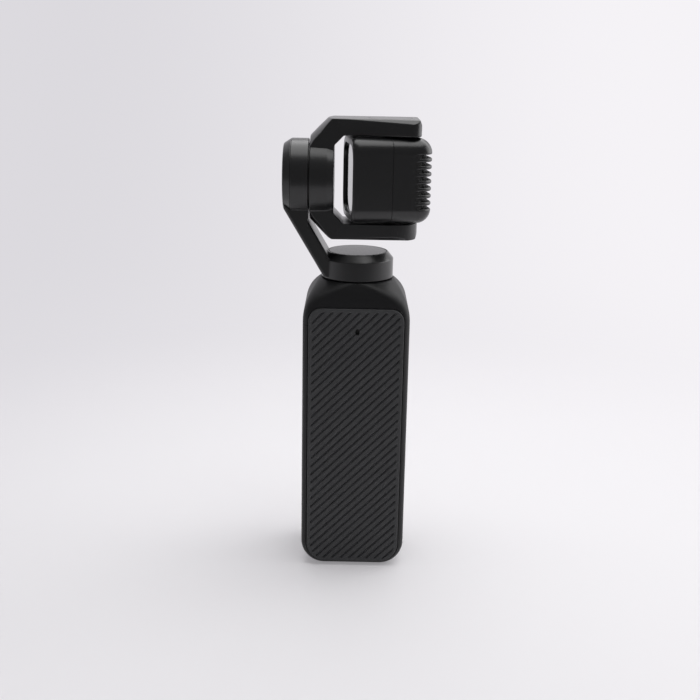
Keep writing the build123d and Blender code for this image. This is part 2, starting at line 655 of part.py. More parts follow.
def joystick_base():
    """Sensor base of the joystick with two ears that hold the gimbal ring's pins."""
    plate = Pos(STICK_X, CONTROL_Z) * RectangleRounded(STICK_BASE, STICK_BASE, 1.0)
    base = along_y(plate, CONTROL_BACK_Y, CONTROL_BACK_Y + 1.0)
    half = STICK_PIN + 0.9
    for side in (-1, 1):
        near, far = sorted((STICK_X + side * STICK_EAR_X, STICK_X + side * STICK_BASE / 2))
        ear_top = STICK_PIVOT_Y + STICK_PIN + 0.6
        base += block(near, far, CONTROL_BACK_Y + 0.9, ear_top, CONTROL_Z - half, CONTROL_Z + half)
    reach = STICK_BASE / 2 + 1
    return base - disc_x(STICK_PIN + RUN, STICK_X - reach, STICK_X + reach, STICK_PIVOT_Y, CONTROL_Z)


def joystick_ring():
    """Gimbal ring that rocks up and down on two pins in the base's ears."""
    half = STICK_RING_THICKNESS / 2
    ring = disc_y(STICK_RING_RADIUS, STICK_PIVOT_Y - half, STICK_PIVOT_Y + half, STICK_X, CONTROL_Z)
    ring -= disc_y(STICK_RING_BORE, STICK_PIVOT_Y - 1, STICK_PIVOT_Y + 1, STICK_X, CONTROL_Z)
    for side in (-1, 1):
        ends = (STICK_X + side * (STICK_RING_RADIUS - 0.4), STICK_X + side * (STICK_BASE / 2 - 0.2))
        ring += disc_x(STICK_PIN, min(ends), max(ends), STICK_PIVOT_Y, CONTROL_Z)
    reach = STICK_RING_RADIUS + 0.4
    bore = disc_z(STICK_INNER_PIN + RUN, CONTROL_Z - reach, CONTROL_Z + reach, STICK_X, STICK_PIVOT_Y)
    return ring - bore


def joystick_stem():
    """Stem that rocks left and right on an upright pin inside the gimbal ring."""
    shoulder = STICK_PIVOT_Y + STICK_HUB_RADIUS + 0.1
    stem = disc_y(STICK_HUB_RADIUS, STICK_PIVOT_Y - 0.9, shoulder, STICK_X, CONTROL_Z)
    stem += disc_y(STICK_STEM_RADIUS, shoulder - 0.1, STICK_CAP_Y, STICK_X, CONTROL_Z)
    reach = STICK_RING_RADIUS - 0.2
    return stem + disc_z(STICK_INNER_PIN, CONTROL_Z - reach, CONTROL_Z + reach, STICK_X, STICK_PIVOT_Y)


def joystick_cap():
    """Round thumb cap with a dished top and a socket that slides down the stem when pressed.

    The cap stands clear of the rear face by what its rim dips at full tilt and when it is pressed.
    """
    top = STICK_CAP_Y + STICK_CAP_THICKNESS
    cap = disc_y(STICK_CAP_RADIUS, STICK_CAP_Y, top, STICK_X, CONTROL_Z)
    cap = fillet(cap.faces().sort_by(Axis.Y)[-1].edges(), STICK_CAP_THICKNESS / 2)
    ball_y = top + STICK_DISH_RADIUS - STICK_DISH_DEPTH
    cap -= Pos(STICK_X, ball_y, CONTROL_Z) * Sphere(STICK_DISH_RADIUS)
    socket = STICK_PIVOT_Y + STICK_HUB_RADIUS + 0.1 + STICK_PRESS + 0.2
    cap += disc_y(STICK_STEM_RADIUS + 1.3, socket, STICK_CAP_Y + 0.1, STICK_X, CONTROL_Z)
    bore_end = STICK_CAP_Y + STICK_PRESS + 0.1
    return cap - disc_y(STICK_STEM_RADIUS + RUN, STICK_PIVOT_Y, bore_end, STICK_X, CONTROL_Z)


def record_button():
    """Round record button with a flange that stops it behind the rear cover."""
    top = REAR_Y + RECORD_PROUD
    button = disc_y(RECORD_RADIUS, INNER_REAR_Y - 0.5, top, RECORD_X, CONTROL_Z)
    button = fillet(button.faces().sort_by(Axis.Y)[-1].edges(), 0.4)
    flange_top = INNER_REAR_Y - 2 * BUTTON_GAP
    flange = RECORD_RADIUS + RECORD_FLANGE
    return button + disc_y(flange, flange_top - RECORD_FLANGE, flange_top, RECORD_X, CONTROL_Z)


def record_switch():
    """Click switch under the record button."""
    plunger = INNER_REAR_Y - 2 * BUTTON_GAP - RECORD_FLANGE - RECORD_TRAVEL - 0.1
    foot = Pos(RECORD_X, CONTROL_Z) * RectangleRounded(6.0, 6.0, 0.6)
    base = along_y(foot, CONTROL_BACK_Y, plunger - 0.9)
    return base + disc_y(1.3, plunger - 1.0, plunger, RECORD_X, CONTROL_Z)


def status_light():
    """Clear light pipe from the control board to the rear face."""
    top = CONTROL_Z + CONTROL_BOARD_LENGTH / 2
    pipe = disc_y(LIGHT_RADIUS, CONTROL_BACK_Y, REAR_Y, 0, LIGHT_Z)
    foot = block(-1.2, 1.2, CONTROL_BACK_Y, CONTROL_BACK_Y + 0.9, top - 2.2, LIGHT_Z)
    return pipe + foot


def housing_screws():
    """Four screws under the screen that pull the rear cover onto the frame's posts."""
    screws = []
    for x, z in post_places():
        shank = disc_y(COVER_SCREW, SPLIT_Y - 6, REAR_Y - 0.9, x, z)
        screws.append(shank + disc_y(COVER_SCREW_HEAD, REAR_Y - 1.0, REAR_Y - 0.1, x, z))
    return joined(screws)


def turntable_bushing():
    """Plain bearing ring of the screen's spindle in the rear cover."""
    inner = SPINDLE_RADIUS + RUN
    ring = disc_y(inner + BUSHING_WALL, INNER_REAR_Y - 0.2, REAR_Y + SCREEN_GAP / 2, 0, SCREEN_Z)
    ring += disc_y(inner + BUSHING_WALL + 0.7, INNER_REAR_Y - 0.9, INNER_REAR_Y, 0, SCREEN_Z)
    return ring - disc_y(inner, INNER_REAR_Y - 2, REAR_Y + 1, 0, SCREEN_Z)


def screen_outline(inset=0.0):
    """Outline of the screen in X and Z at rest, moved inwards by inset."""
    size = (SCREEN_WIDTH - 2 * inset, SCREEN_LENGTH - 2 * inset, SCREEN_CORNER - inset)
    return Pos(0, SCREEN_Z) * RectangleRounded(*size)


def screen_frame():
    """Tray that holds the display and the cover glass."""
    face_y = SCREEN_Y + SCREEN_THICKNESS - GLASS_THICKNESS / 2
    frame = along_y(screen_outline(), SCREEN_Y, face_y)
    frame = fillet(frame.faces().sort_by(Axis.Y)[0].edges(), 0.8)
    pocket_y = SCREEN_Y + SCREEN_WALL + PANEL_THICKNESS
    panel = RectangleRounded(PANEL_WIDTH + 0.4, PANEL_LENGTH + 0.4, SCREEN_CORNER - 2)
    frame -= along_y(Pos(0, SCREEN_Z) * panel, SCREEN_Y + SCREEN_WALL, pocket_y + 1)
    frame -= along_y(screen_outline(0.7 - PLATE_GAP), pocket_y + 0.1, face_y + 1)
    bore = SMALL_SCREW + SCREW_CLEARANCE
    for x, z in spindle_screw_places():
        frame -= disc_y(bore, SCREEN_Y - 1, SCREEN_Y + SCREEN_WALL + 1, x, z)
    return frame


def display_panel():
    """Display module that fills the tray behind the glass."""
    panel = RectangleRounded(PANEL_WIDTH, PANEL_LENGTH, SCREEN_CORNER - 2.2)
    low = SCREEN_Y + SCREEN_WALL + 0.7
    return along_y(Pos(0, SCREEN_Z) * panel, low, SCREEN_Y + SCREEN_WALL + PANEL_THICKNESS)


def screen_glass():
    """Cover glass with rounded edges, seated on the tray's ledge."""
    low = SCREEN_Y + SCREEN_WALL + PANEL_THICKNESS + 0.1
    glass = along_y(screen_outline(0.7), low, SCREEN_Y + SCREEN_THICKNESS)
    return fillet(glass.faces().sort_by(Axis.Y)[-1].edges(), 0.4)


def spindle_screw_places():
    """Places, in X and Z, of the three screws through tray, spindle and retainer."""
    turns = [math.radians(angle) for angle in SCREW_ANGLES]
    reach = SPINDLE_SCREW_CIRCLE
    return [(reach * math.cos(turn), SCREEN_Z + reach * math.sin(turn)) for turn in turns]


def screen_spindle():
    """Hollow spindle that the screen turns on, with the hole for its ribbon cable."""
    spindle = disc_y(SPINDLE_RADIUS, INNER_REAR_Y - 1.2, SCREEN_Y, 0, SCREEN_Z)
    spindle -= disc_y(SPINDLE_BORE, INNER_REAR_Y - 2, SCREEN_Y + 1, 0, SCREEN_Z)
    bore = SMALL_SCREW + SCREW_CLEARANCE
    for x, z in spindle_screw_places():
        spindle -= disc_y(bore, INNER_REAR_Y - 2, SCREEN_Y + 1, x, z)
    return spindle


def spindle_retainer():
    """Washer inside the handle that keeps the spindle in its bushing."""
    back = INNER_REAR_Y - 1.2
    ring = disc_y(RETAINER_RADIUS, back - RETAINER_THICKNESS, back, 0, SCREEN_Z)
    ring -= disc_y(SPINDLE_BORE, back - 2, back + 1, 0, SCREEN_Z)
    bore = SMALL_SCREW + SCREW_CLEARANCE
    for x, z in spindle_screw_places():
        ring -= disc_y(bore, back - 2, back + 1, x, z)
    return ring


def spindle_screws():
    """Three screws that clamp retainer, spindle and tray together."""
    back = INNER_REAR_Y - 1.2 - RETAINER_THICKNESS
    screws = []
    for x, z in spindle_screw_places():
        shank = disc_y(SMALL_SCREW, back - 0.1, SCREEN_Y + SCREEN_WALL - 0.1, x, z)
        screws.append(shank + disc_y(SMALL_SCREW_HEAD, back - SCREW_HEAD_HEIGHT, back, x, z))
    return joined(screws)


def stator(bore, radius, low, high, teeth):
    """Wound motor core about Z: a hub ring with T-shaped teeth."""
    core = bore + 1.3
    tooth_width = 2 * math.pi * radius / teeth * 0.36
    shoe = radius - 0.8
    body = Circle(core) + (Circle(radius) - Circle(shoe))
    slot = Pos(radius, 0) * Rectangle(2 * (radius - core), tooth_width * 0.45)
    for number in range(teeth):
        turn = Rot(0, 0, 360 * number / teeth)
        body += turn * Pos((core + shoe) / 2, 0) * Rectangle(shoe - core + 0.4, tooth_width)
    for number in range(teeth):
        body -= Rot(0, 0, 360 * (number + 0.5) / teeth) * slot
    return along_z(body - Circle(bore), low, high)


def pan_hub():
    """Fixed hub of the pan motor: a flange under the neck and the tube that holds the bearings."""
    top = NECK_Z - HANDLE_WALL
    hub = disc_z(HUB_FLANGE_RADIUS, top - HUB_FLANGE, top)
    hub += disc_z(HUB_COLLAR_RADIUS, top - HUB_FLANGE, NECK_Z + 0.7)
    hub += disc_z(HUB_TUBE_RADIUS, NECK_Z, ROOF_Z - 1.3)
    hub -= disc_z(HUB_BORE, top - HUB_FLANGE - 1, ROOF_Z)
    bore = SMALL_SCREW + 2 * SCREW_CLEARANCE
    for angle in SCREW_ANGLES:
        hub -= Rot(0, 0, angle) * disc_z(bore, top - HUB_FLANGE - 1, top + 1, NECK_SCREW_CIRCLE)
    return hub


def neck_screws():
    """Three screws from below through the hub's flange into the shoulder."""
    seat = NECK_Z - HANDLE_WALL - HUB_FLANGE
    screw = disc_z(SMALL_SCREW, seat - 0.1, NECK_Z - 0.6, NECK_SCREW_CIRCLE)
    screw += disc_z(NECK_SCREW_HEAD, seat - SCREW_HEAD_HEIGHT, seat, NECK_SCREW_CIRCLE)
    return joined([Rot(0, 0, angle) * screw for angle in SCREW_ANGLES])


def pan_bearings():
    """Two ball bearings, as plain rings, at the ends of the hub's tube."""
    low = NECK_Z - HANDLE_WALL - HUB_FLANGE + 0.1
    high = ROOF_Z - 1.4
    rings = [(low, low + BEARING_WIDTH), (high - BEARING_WIDTH, high)]
    return joined([tube_z(BEARING_RADIUS, BEARING_BORE, start, end) for start, end in rings])


def pan_stator():
    """Fixed core of the pan motor on the hub."""
    return stator(HUB_TUBE_RADIUS + SEAT, STATOR_RADIUS, NECK_Z + 0.7, ROOF_Z - 1.5, STATOR_TEETH)


def pan_magnet_ring():
    """Magnet ring of the pan motor under the disc's roof."""
    return tube_z(MAGNET_OUTER - 0.05, MAGNET_INNER, NECK_Z + 0.8, ROOF_Z)


def pan_shaft():
    """Shaft of the pan arm, with the head that holds it in the hub's bearings from below."""
    foot = NECK_Z - HANDLE_WALL - HUB_FLANGE - 0.2
    shaft = disc_z(SHAFT_RADIUS, foot - 0.1, ROOF_Z + 0.9)
    return shaft + disc_z(SHAFT_RADIUS + SHAFT_HEAD, foot - SHAFT_HEAD_THICKNESS, foot)


def pan_disc():
    """Round foot of the arm above the neck, with its sloping shoulder."""
    profile = polygon([
        (0, DISC_Z), (DISC_RADIUS, DISC_Z), (DISC_RADIUS, DISC_TOP_Z - DISC_CHAMFER_HEIGHT),
        (DISC_RADIUS - DISC_CHAMFER_RUN, DISC_TOP_Z), (0, DISC_TOP_Z),
    ])
    return revolve(Plane.XZ * profile, Axis.Z)


def strut():
    """Slanted strut from the disc up to the roll drum."""
    low_x = STRUT_LINE_INSET - DISC_RADIUS
    low_z = DISC_Z + STRUT_LINE_Z
    slope = (ROLL_Z - STRUT_TOP_DROP - low_z) / (low_x - DRUM_LEFT_X - STRUT_TOP_INSET)
    across = STRUT_THICKNESS * math.sqrt(1 + 1 / slope**2)
    bottom = DISC_Z + STRUT_FOOT_Z

    def outer_x(height):
        return low_x - (height - low_z) / slope

    def inner_z(x):
        return low_z - (x - across - low_x) * slope

    left = DRUM_LEFT_X + STRUT_LEFT_INSET
    corner_z = low_z + (low_x - left) * slope
    foot_x = outer_x(DISC_TOP_Z - DISC_CHAMFER_HEIGHT) + across
    top = ROLL_Z - DRUM_RADIUS * 0.65
    outline = polygon([
        (left, top), (left, corner_z), (outer_x(bottom), bottom), (foot_x, bottom),
        (foot_x, DISC_TOP_Z - DISC_CHAMFER_HEIGHT), (DRUM_RIGHT_X, inner_z(DRUM_RIGHT_X)),
        (DRUM_RIGHT_X, top),
    ])
    body = along_y(outline, -STRUT_HALF_DEPTH, STRUT_HALF_DEPTH)
    sides = body.faces().sort_by(Axis.Y)
    slanted = [
        edge
        for face in (sides[0], sides[-1])
        for edge in face.edges()
        if abs(edge.tangent_at(0.5).X) > 0.1 and abs(edge.tangent_at(0.5).Z) > 0.1
    ]
    return fillet(slanted, STRUT_EDGE_RADIUS)


def pan_arm():
    """Cast arm: disc over the neck, slanted strut and roll drum with the hub tube of its bearings."""
    body = strut() - cover_form(RUN)
    arm = pan_disc() + body + disc_x(DRUM_RADIUS, COVER_SEAM_X, DRUM_RIGHT_X, 0, ROLL_Z)
    arm -= disc_z(DISC_BORE, DISC_Z - 1, ROOF_Z)
    arm -= disc_z(PAN_CAP_RADIUS + PLATE_GAP, DISC_TOP_Z - PAN_CAP_THICKNESS, DISC_TOP_Z + 0.01)
    arm -= disc_z(SHAFT_RADIUS + SEAT, ROOF_Z - 1, ROOF_Z + 0.95)
    arm -= disc_x(DRUM_BORE, DRUM_FLOOR_X, DRUM_RIGHT_X + 3, 0, ROLL_Z)
    arm += disc_x(ROLL_HUB_RADIUS, DRUM_FLOOR_X - 0.1, DRUM_RIGHT_X - 0.3, 0, ROLL_Z)
    return arm - disc_x(ROLL_BEARING_RADIUS + SEAT, COVER_SEAM_X - 1, DRUM_RIGHT_X + 1, 0, ROLL_Z)


def pan_cap():
    """Satin cap on top of the disc."""
    return disc_z(PAN_CAP_RADIUS, DISC_TOP_Z - PAN_CAP_THICKNESS, DISC_TOP_Z)


def cover_form(gap=0.0):
    """Bevelled disc of the roll drum's cover, grown by a gap."""
    left, radius = DRUM_LEFT_X - gap, DRUM_RADIUS + gap
    profile = polygon([(COVER_SEAM_X, 0), (COVER_SEAM_X, radius), (left, radius - ROLL_COVER_BEVEL), (left, 0)])
    return Pos(0, 0, ROLL_Z) * revolve(Plane.XZ * profile, Axis.X)


def roll_cover():
    """Bevelled cover on the left end of the roll drum."""
    return cover_form() - disc_x(ROLL_COVER_POCKET, COVER_SEAM_X - 1.4, COVER_SEAM_X + 1, 0, ROLL_Z)


def about_roll(shape):
    """Place a motor piece built about Z so that its axis is the roll axis and its foot the drum floor."""
    return Pos(DRUM_FLOOR_X, 0, ROLL_Z) * Rot(0, 90, 0) * shape


def roll_stator():
    """Fixed core of the roll motor on the drum's hub tube."""
    core = stator(ROLL_HUB_RADIUS + SEAT, STATOR_RADIUS, 0, ROLL_STATOR_LENGTH, STATOR_TEETH)
    return about_roll(core)


def roll_bearings():
    """Two ball bearings, as plain rings, in the drum's hub tube."""
    tube_end = DRUM_RIGHT_X - 0.3 - DRUM_FLOOR_X
    width = DRUM_FLOOR + 0.1
    rings = [
        tube_z(ROLL_BEARING_RADIUS, BEARING_BORE, low, low + width)
        for low in (0.1 - DRUM_FLOOR, tube_end - 0.1 - width)
    ]
    return joined([about_roll(ring) for ring in rings])


def roll_magnet_ring():
    """Magnet ring of the roll motor on the yoke's hub."""
    return about_roll(tube_z(MAGNET_OUTER, MAGNET_INNER, 0.3, YOKE_LEFT_X - DRUM_FLOOR_X))


def roll_shaft():
    """Shaft of the yoke, with the head that holds it in the drum's bearings under the roll cover."""
    head = COVER_SEAM_X - 0.2
    shaft = disc_x(SHAFT_RADIUS, head - 0.1, YOKE_LEFT_X + 3.2, 0, ROLL_Z)
    return shaft + disc_x(SHAFT_RADIUS + SHAFT_HEAD, head - SHAFT_HEAD_THICKNESS, head, 0, ROLL_Z)


def yoke_half(reach, radius, side_up):
    """Upper or lower half of the yoke without its hub: waisted at the bar, widening to a rounded arm end.

    reach is how far the arm goes past the tilt axis, radius that of its end's corners in plan, and
    side_up is 1 for the upper half and -1 for the lower one.
    """
    end, side, slim = TILT_X + reach, YOKE_HALF_DEPTH, YOKE_BAR_HALF_DEPTH
    profile = [
        (YOKE_LEFT_X, 0), (YOKE_LEFT_X, DRUM_RADIUS), (YOKE_LEFT_X + YOKE_OUTER_DIAGONAL, YOKE_HALF_SPAN),
        (end - YOKE_END_RUN, YOKE_HALF_SPAN), (end, YOKE_HALF_SPAN - YOKE_END_HEIGHT), (end, YOKE_INNER),
        (YOKE_BAR_X + YOKE_INNER_DIAGONAL, YOKE_INNER), (YOKE_BAR_X, YOKE_INNER - YOKE_INNER_DIAGONAL),
        (YOKE_BAR_X, 0),
    ]
    outline = polygon([(x, side_up * z) for x, z in profile])
    plan = [(YOKE_LEFT_X, slim), (YOKE_TAPER_X, slim), (end, side)]
    face = polygon(plan + [(x, -y) for x, y in reversed(plan)])
    face = fillet(face.vertices().sort_by(Axis.X)[-2:], radius)
    flat = side - YOKE_BEVEL_RUN
    bevel = [(side, YOKE_HALF_SPAN - YOKE_BEVEL_HEIGHT), (flat, YOKE_HALF_SPAN)]
    bevel += [(-y, z) for y, z in reversed(bevel)]
    section = polygon([(y, side_up * z) for y, z in [(side, 0), *bevel, (-side, 0)]])
    half = along_y(Pos(0, ROLL_Z) * outline, -side, side)
    half &= along_z(face, 0, OVERALL_HEIGHT + 1)
    return half & along_x(Pos(0, ROLL_Z) * section, YOKE_LEFT_X - 1, end + 1)


def yoke_hub():
    """Round hub at the drum, as thick as the bar, with a cone on the side of the head."""
    profile = polygon([
        (YOKE_LEFT_X, 0), (YOKE_LEFT_X, DRUM_RADIUS), (YOKE_BAR_X - YOKE_CONE_LENGTH, DRUM_RADIUS),
        (YOKE_BAR_X, DRUM_RADIUS - YOKE_CONE_DROP), (YOKE_BAR_X, 0),
    ])
    return Pos(0, 0, ROLL_Z) * revolve(Plane.XZ * profile, Axis.X)


def yoke_frame():
    """C-shaped yoke: round hub at the drum, bar, and two arms that hold the head above and below."""
    frame = yoke_half(YOKE_UPPER_REACH, YOKE_UPPER_RADIUS, 1)
    frame += yoke_half(YOKE_LOWER_REACH, YOKE_LOWER_RADIUS, -1)
    end = TILT_X + YOKE_UPPER_REACH
    cone = polygon([
        (YOKE_LEFT_X, 0), (YOKE_LEFT_X, DRUM_RADIUS),
        (YOKE_LEFT_X + YOKE_SWEEP_RADIUS - DRUM_RADIUS, YOKE_SWEEP_RADIUS),
        (end + 1, YOKE_SWEEP_RADIUS), (end + 1, 0),
    ])
    frame &= Pos(0, 0, ROLL_Z) * revolve(Plane.XZ * cone, Axis.X)
    frame += yoke_hub()
    frame -= disc_x(SHAFT_RADIUS + SEAT, YOKE_LEFT_X - 1, YOKE_LEFT_X + 3.3, 0, ROLL_Z)
    top, low = ROLL_Z + YOKE_HALF_SPAN, ROLL_Z - YOKE_HALF_SPAN
    frame -= disc_z(TILT_POCKET, TILT_FLOOR_Z, top + 1, TILT_X)
    frame -= disc_z(TILT_COVER_RADIUS + PLATE_GAP / 2, TILT_ROOF_Z, top + 1, TILT_X)
    frame += disc_z(TILT_HUB, TILT_FLOOR_Z - 0.1, TILT_FLOOR_Z + 2.0, TILT_X)
    frame -= disc_z(TILT_BEARING + SEAT, ROLL_Z + YOKE_INNER - 1, TILT_FLOOR_Z + 3, TILT_X)
    frame -= disc_z(LOWER_COVER_RADIUS + PLATE_GAP / 2, low - 1, low + TILT_COVER_THICKNESS, TILT_X)
    frame -= disc_z(LOWER_BEARING + SEAT, low - 1, ROLL_Z - YOKE_INNER - 1.0, TILT_X)
    return frame - disc_z(TILT_SHAFT + 0.4, low, ROLL_Z, TILT_X)


def tilt_stator():
    """Fixed core of the tilt motor in the upper arm."""
    core = stator(TILT_HUB + SEAT, TILT_STATOR_RADIUS, TILT_FLOOR_Z, TILT_FLOOR_Z + 1.8, STATOR_TEETH)
    return Pos(TILT_X) * core


def tilt_motor_cover():
    """Flat cover over the tilt motor, flush with the top of the upper arm."""
    return disc_z(TILT_COVER_RADIUS, TILT_ROOF_Z, TILT_ROOF_Z + TILT_COVER_THICKNESS, TILT_X)


def tilt_bearings():
    """Ball bearings of the tilt axis, as plain rings, in the upper and the lower arm."""
    floor = ROLL_Z + YOKE_INNER
    bore = TILT_SHAFT + RUN
    upper = tube_z(TILT_BEARING, bore, floor + 0.1, TILT_FLOOR_Z + 1.7, TILT_X)
    top = ROLL_Z - YOKE_INNER - 1.0
    return joined([upper, tube_z(LOWER_BEARING, bore, top - 1.6, top, TILT_X)])


def lower_arm_cover():
    """Small cover over the lower bearing."""
    low = ROLL_Z - YOKE_HALF_SPAN
    return disc_z(LOWER_COVER_RADIUS, low, low + TILT_COVER_THICKNESS, TILT_X)


def tilt_rotor():
    """Rotor of the tilt motor: a steel plate with its magnet ring, on the head's shaft."""
    top = TILT_ROOF_Z - 0.3
    plate = disc_z(TILT_ROTOR_RADIUS, top - 0.5, top, TILT_X)
    plate -= disc_z(TILT_SHAFT + SEAT, top - 1, top + 1, TILT_X)
    inner = TILT_ROTOR_RADIUS - TILT_MAGNET
    return plate + tube_z(TILT_ROTOR_RADIUS, inner, TILT_FLOOR_Z + 0.2, top - 0.4, TILT_X)


def tilt_shaft():
    """Shaft from the head's frame up into the tilt motor."""
    return disc_z(TILT_SHAFT, ROLL_Z + HEAD_HALF_HEIGHT - 2 * HEAD_WALL, TILT_ROOF_Z - 0.3, TILT_X)


def tilt_pivot_pin():
    """Pin from the head's frame down into the lower bearing."""
    low = ROLL_Z - YOKE_INNER - 2.8
    return disc_z(TILT_SHAFT, low, ROLL_Z - HEAD_HALF_HEIGHT + 2 * HEAD_WALL, TILT_X)


def in_head(shape):
    """Place a head piece, built about the tilt axis with its back along +X, at its rest turn."""
    return Pos(TILT_X, 0, ROLL_Z) * Rot(0, 0, HEAD_TURN) * shape


def head_form(inset=0.0):
    """Rounded block of the head in its own directions, moved inwards by inset."""
    width = HEAD_WIDTH - 2 * inset
    height = 2 * (HEAD_HALF_HEIGHT - inset)
    outline = RectangleRounded(width, height, HEAD_CORNER - inset)
    form = along_x(outline, -HEAD_FRONT + inset, HEAD_BACK - inset)
    ends = form.faces().sort_by(Axis.X)
    form = fillet(ends[-1].edges(), HEAD_REAR_ROUND - inset)
    return fillet(form.faces().sort_by(Axis.X)[0].edges(), max(HEAD_FRONT_ROUND - inset, 0.3))


def shaft_openings():
    """Holes in the head's shells round the tilt shaft and the pivot pin."""
    return disc_z(SHAFT_OPENING, -HEAD_HALF_HEIGHT - 1, HEAD_HALF_HEIGHT + 1)


def head_half(front, back):
    """Block that keeps the head between two places along its depth."""
    return block(front, back, -HEAD_WIDTH, HEAD_WIDTH, -OVERALL_HEIGHT, OVERALL_HEIGHT)


def head_front_shell():
    """Front shell of the head: a cavity behind the ledge that the recessed window is seated on."""
    width, height = HEAD_WIDTH - 2 * HEAD_WALL, 2 * (HEAD_HALF_HEIGHT - HEAD_WALL)
    cavity = RectangleRounded(width, height, HEAD_CORNER - HEAD_WALL)
    shell = head_form() & head_half(-HEAD_FRONT - 1, HEAD_SEAM)
    shell -= along_x(cavity, WINDOW_BACK + WINDOW_LEDGE, HEAD_BACK)
    ledge = 1.2
    window = RectangleRounded(WINDOW_WIDTH, WINDOW_HEIGHT, WINDOW_CORNER)
    opening = RectangleRounded(WINDOW_WIDTH - 2 * ledge, WINDOW_HEIGHT - 2 * ledge, WINDOW_CORNER - ledge)
    shell -= along_x(window, -HEAD_FRONT - 1, WINDOW_BACK)
    shell -= along_x(opening, -HEAD_FRONT, WINDOW_BACK + WINDOW_LEDGE + 1)
    return in_head(shell - shaft_openings())


def head_rear_shell():
    """Rear shell of the head as a heat sink: level fins that wrap round its rear corners."""
    height = 2 * (HEAD_HALF_HEIGHT - HEAD_WALL)
    cavity = RectangleRounded(2 * HEAD_INNER_HALF, height, HEAD_CORNER - HEAD_WALL)
    shell = head_form() & head_half(HEAD_SEAM, HEAD_BACK + 1)
    shell -= along_x(cavity, -HEAD_FRONT, FIN_START - HEAD_WALL / 2)
    core_back = HEAD_BACK - FIN_DEPTH
    past = FIN_START - (core_back - FIN_ROUND)
    core_side = HEAD_HALF_WIDTH - math.sqrt(FIN_ROUND**2 - past**2) + FIN_ROUND
    core = RectangleRounded(2 * core_back, 2 * core_side, FIN_ROUND)
    outside = Pos(FIN_START + HEAD_BACK, 0) * Rectangle(2 * HEAD_BACK, 2 * HEAD_WIDTH) - core
    for number in range(FIN_SLOTS):
        height = (number - (FIN_SLOTS - 1) / 2) * FIN_PITCH
        shell -= along_z(outside, height - FIN_SLOT / 2, height + FIN_SLOT / 2)
    return in_head(shell - shaft_openings())


def window_glass():
    """Flat glossy window in front of the lens."""
    gap = PLATE_GAP
    outline = RectangleRounded(WINDOW_WIDTH - gap, WINDOW_HEIGHT - gap, WINDOW_CORNER - gap / 2)
    front = -HEAD_FRONT + WINDOW_RECESS
    return in_head(along_x(outline, front, front + WINDOW_THICKNESS))


def head_frame():
    """Die-cast bracket inside the head that carries the shaft, the pin and the sensor."""
    top = BRACKET_TOP
    half = HEAD_INNER_HALF - 0.3
    outline = RectangleRounded(2 * half, 2 * top, HEAD_CORNER - HEAD_WALL)
    bracket = along_x(outline, -2 * HEAD_WALL, SENSOR_BOARD_BACK + 1.6)
    rail = top - BRACKET_RAIL
    bracket -= block(-3, SENSOR_BOARD_BACK, -half - 1, half + 1, -rail, rail)
    for y, z in sensor_screw_places():
        bracket -= disc_x(SMALL_SCREW + SCREW_CLEARANCE, 2, SENSOR_BOARD_BACK + 1.5, y, z)
    return in_head(bracket - disc_z(TILT_SHAFT + SEAT, -top - 1, top + 1))


def sensor_screw_places():
    """Places, side and up, of the four screws of the sensor board."""
    return [
        (side * SENSOR_SCREW_SIDE, up * SENSOR_SCREW_UP)
        for side in (-1, 1)
        for up in (-1, 1)
    ]


def sensor_board():
    """Circuit board of the image sensor in front of the bracket's back wall."""
    half, high = HEAD_INNER_HALF - 0.6, SENSOR_BOARD_HALF
    front = SENSOR_BOARD_BACK - SENSOR_BOARD_THICKNESS
    board = block(front, SENSOR_BOARD_BACK, -half, half, -high, high)
    for y, z in sensor_screw_places():
        board -= disc_x(SMALL_SCREW + SCREW_CLEARANCE, front - 1, SENSOR_BOARD_BACK + 1, y, z)
    return in_head(board)


def image_sensor():
    """Image sensor package on its board."""
    back = SENSOR_BOARD_BACK - SENSOR_BOARD_THICKNESS
    side, up = IMAGE_SENSOR_WIDTH / 2, IMAGE_SENSOR_HEIGHT / 2
    return in_head(block(back - IMAGE_SENSOR_DEPTH, back, -side, side, -up, up))


def lens_barrel():
    """Lens barrel between the window and the image sensor."""
    back = SENSOR_BOARD_BACK - SENSOR_BOARD_THICKNESS - 1.6
    front = WINDOW_BACK + LENS_WALL
    barrel = disc_x(LENS_RADIUS, front, back)
    barrel -= disc_x(LENS_RADIUS - LENS_WALL, front - 1, back + 1)
    flange = disc_x(LENS_RADIUS + 0.3, back - 1.0, back + 0.2)
    flange -= disc_x(LENS_RADIUS - 2 * LENS_WALL, back - 2, back + 1)
    return in_head(barrel + flange)


def lens_elements():
    """Three glass elements inside the barrel, curved in front, as separate solids."""
    radius = LENS_RADIUS - LENS_WALL - SEAT
    front = WINDOW_BACK + LENS_WALL + 0.4
    elements = []
    for start, thickness in ((front, 2.4), (front + 3.2, 1.8), (front + 5.8, 2.0)):
        disc = disc_x(radius, start, start + thickness)
        elements.append(disc & Pos(start + LENS_CURVE, 0, 0) * Sphere(LENS_CURVE))
    return joined([in_head(element) for element in elements])


def sensor_screws():
    """Four small screws that hold the sensor board on the bracket."""
    front = SENSOR_BOARD_BACK - SENSOR_BOARD_THICKNESS
    screw = disc_x(SMALL_SCREW, front - 0.1, SENSOR_BOARD_BACK + 1.4)
    screw += disc_x(SMALL_SCREW_HEAD - 0.2, front - SCREW_HEAD_HEIGHT, front)
    return joined([in_head(Pos(0, y, z) * screw) for y, z in sensor_screw_places()])


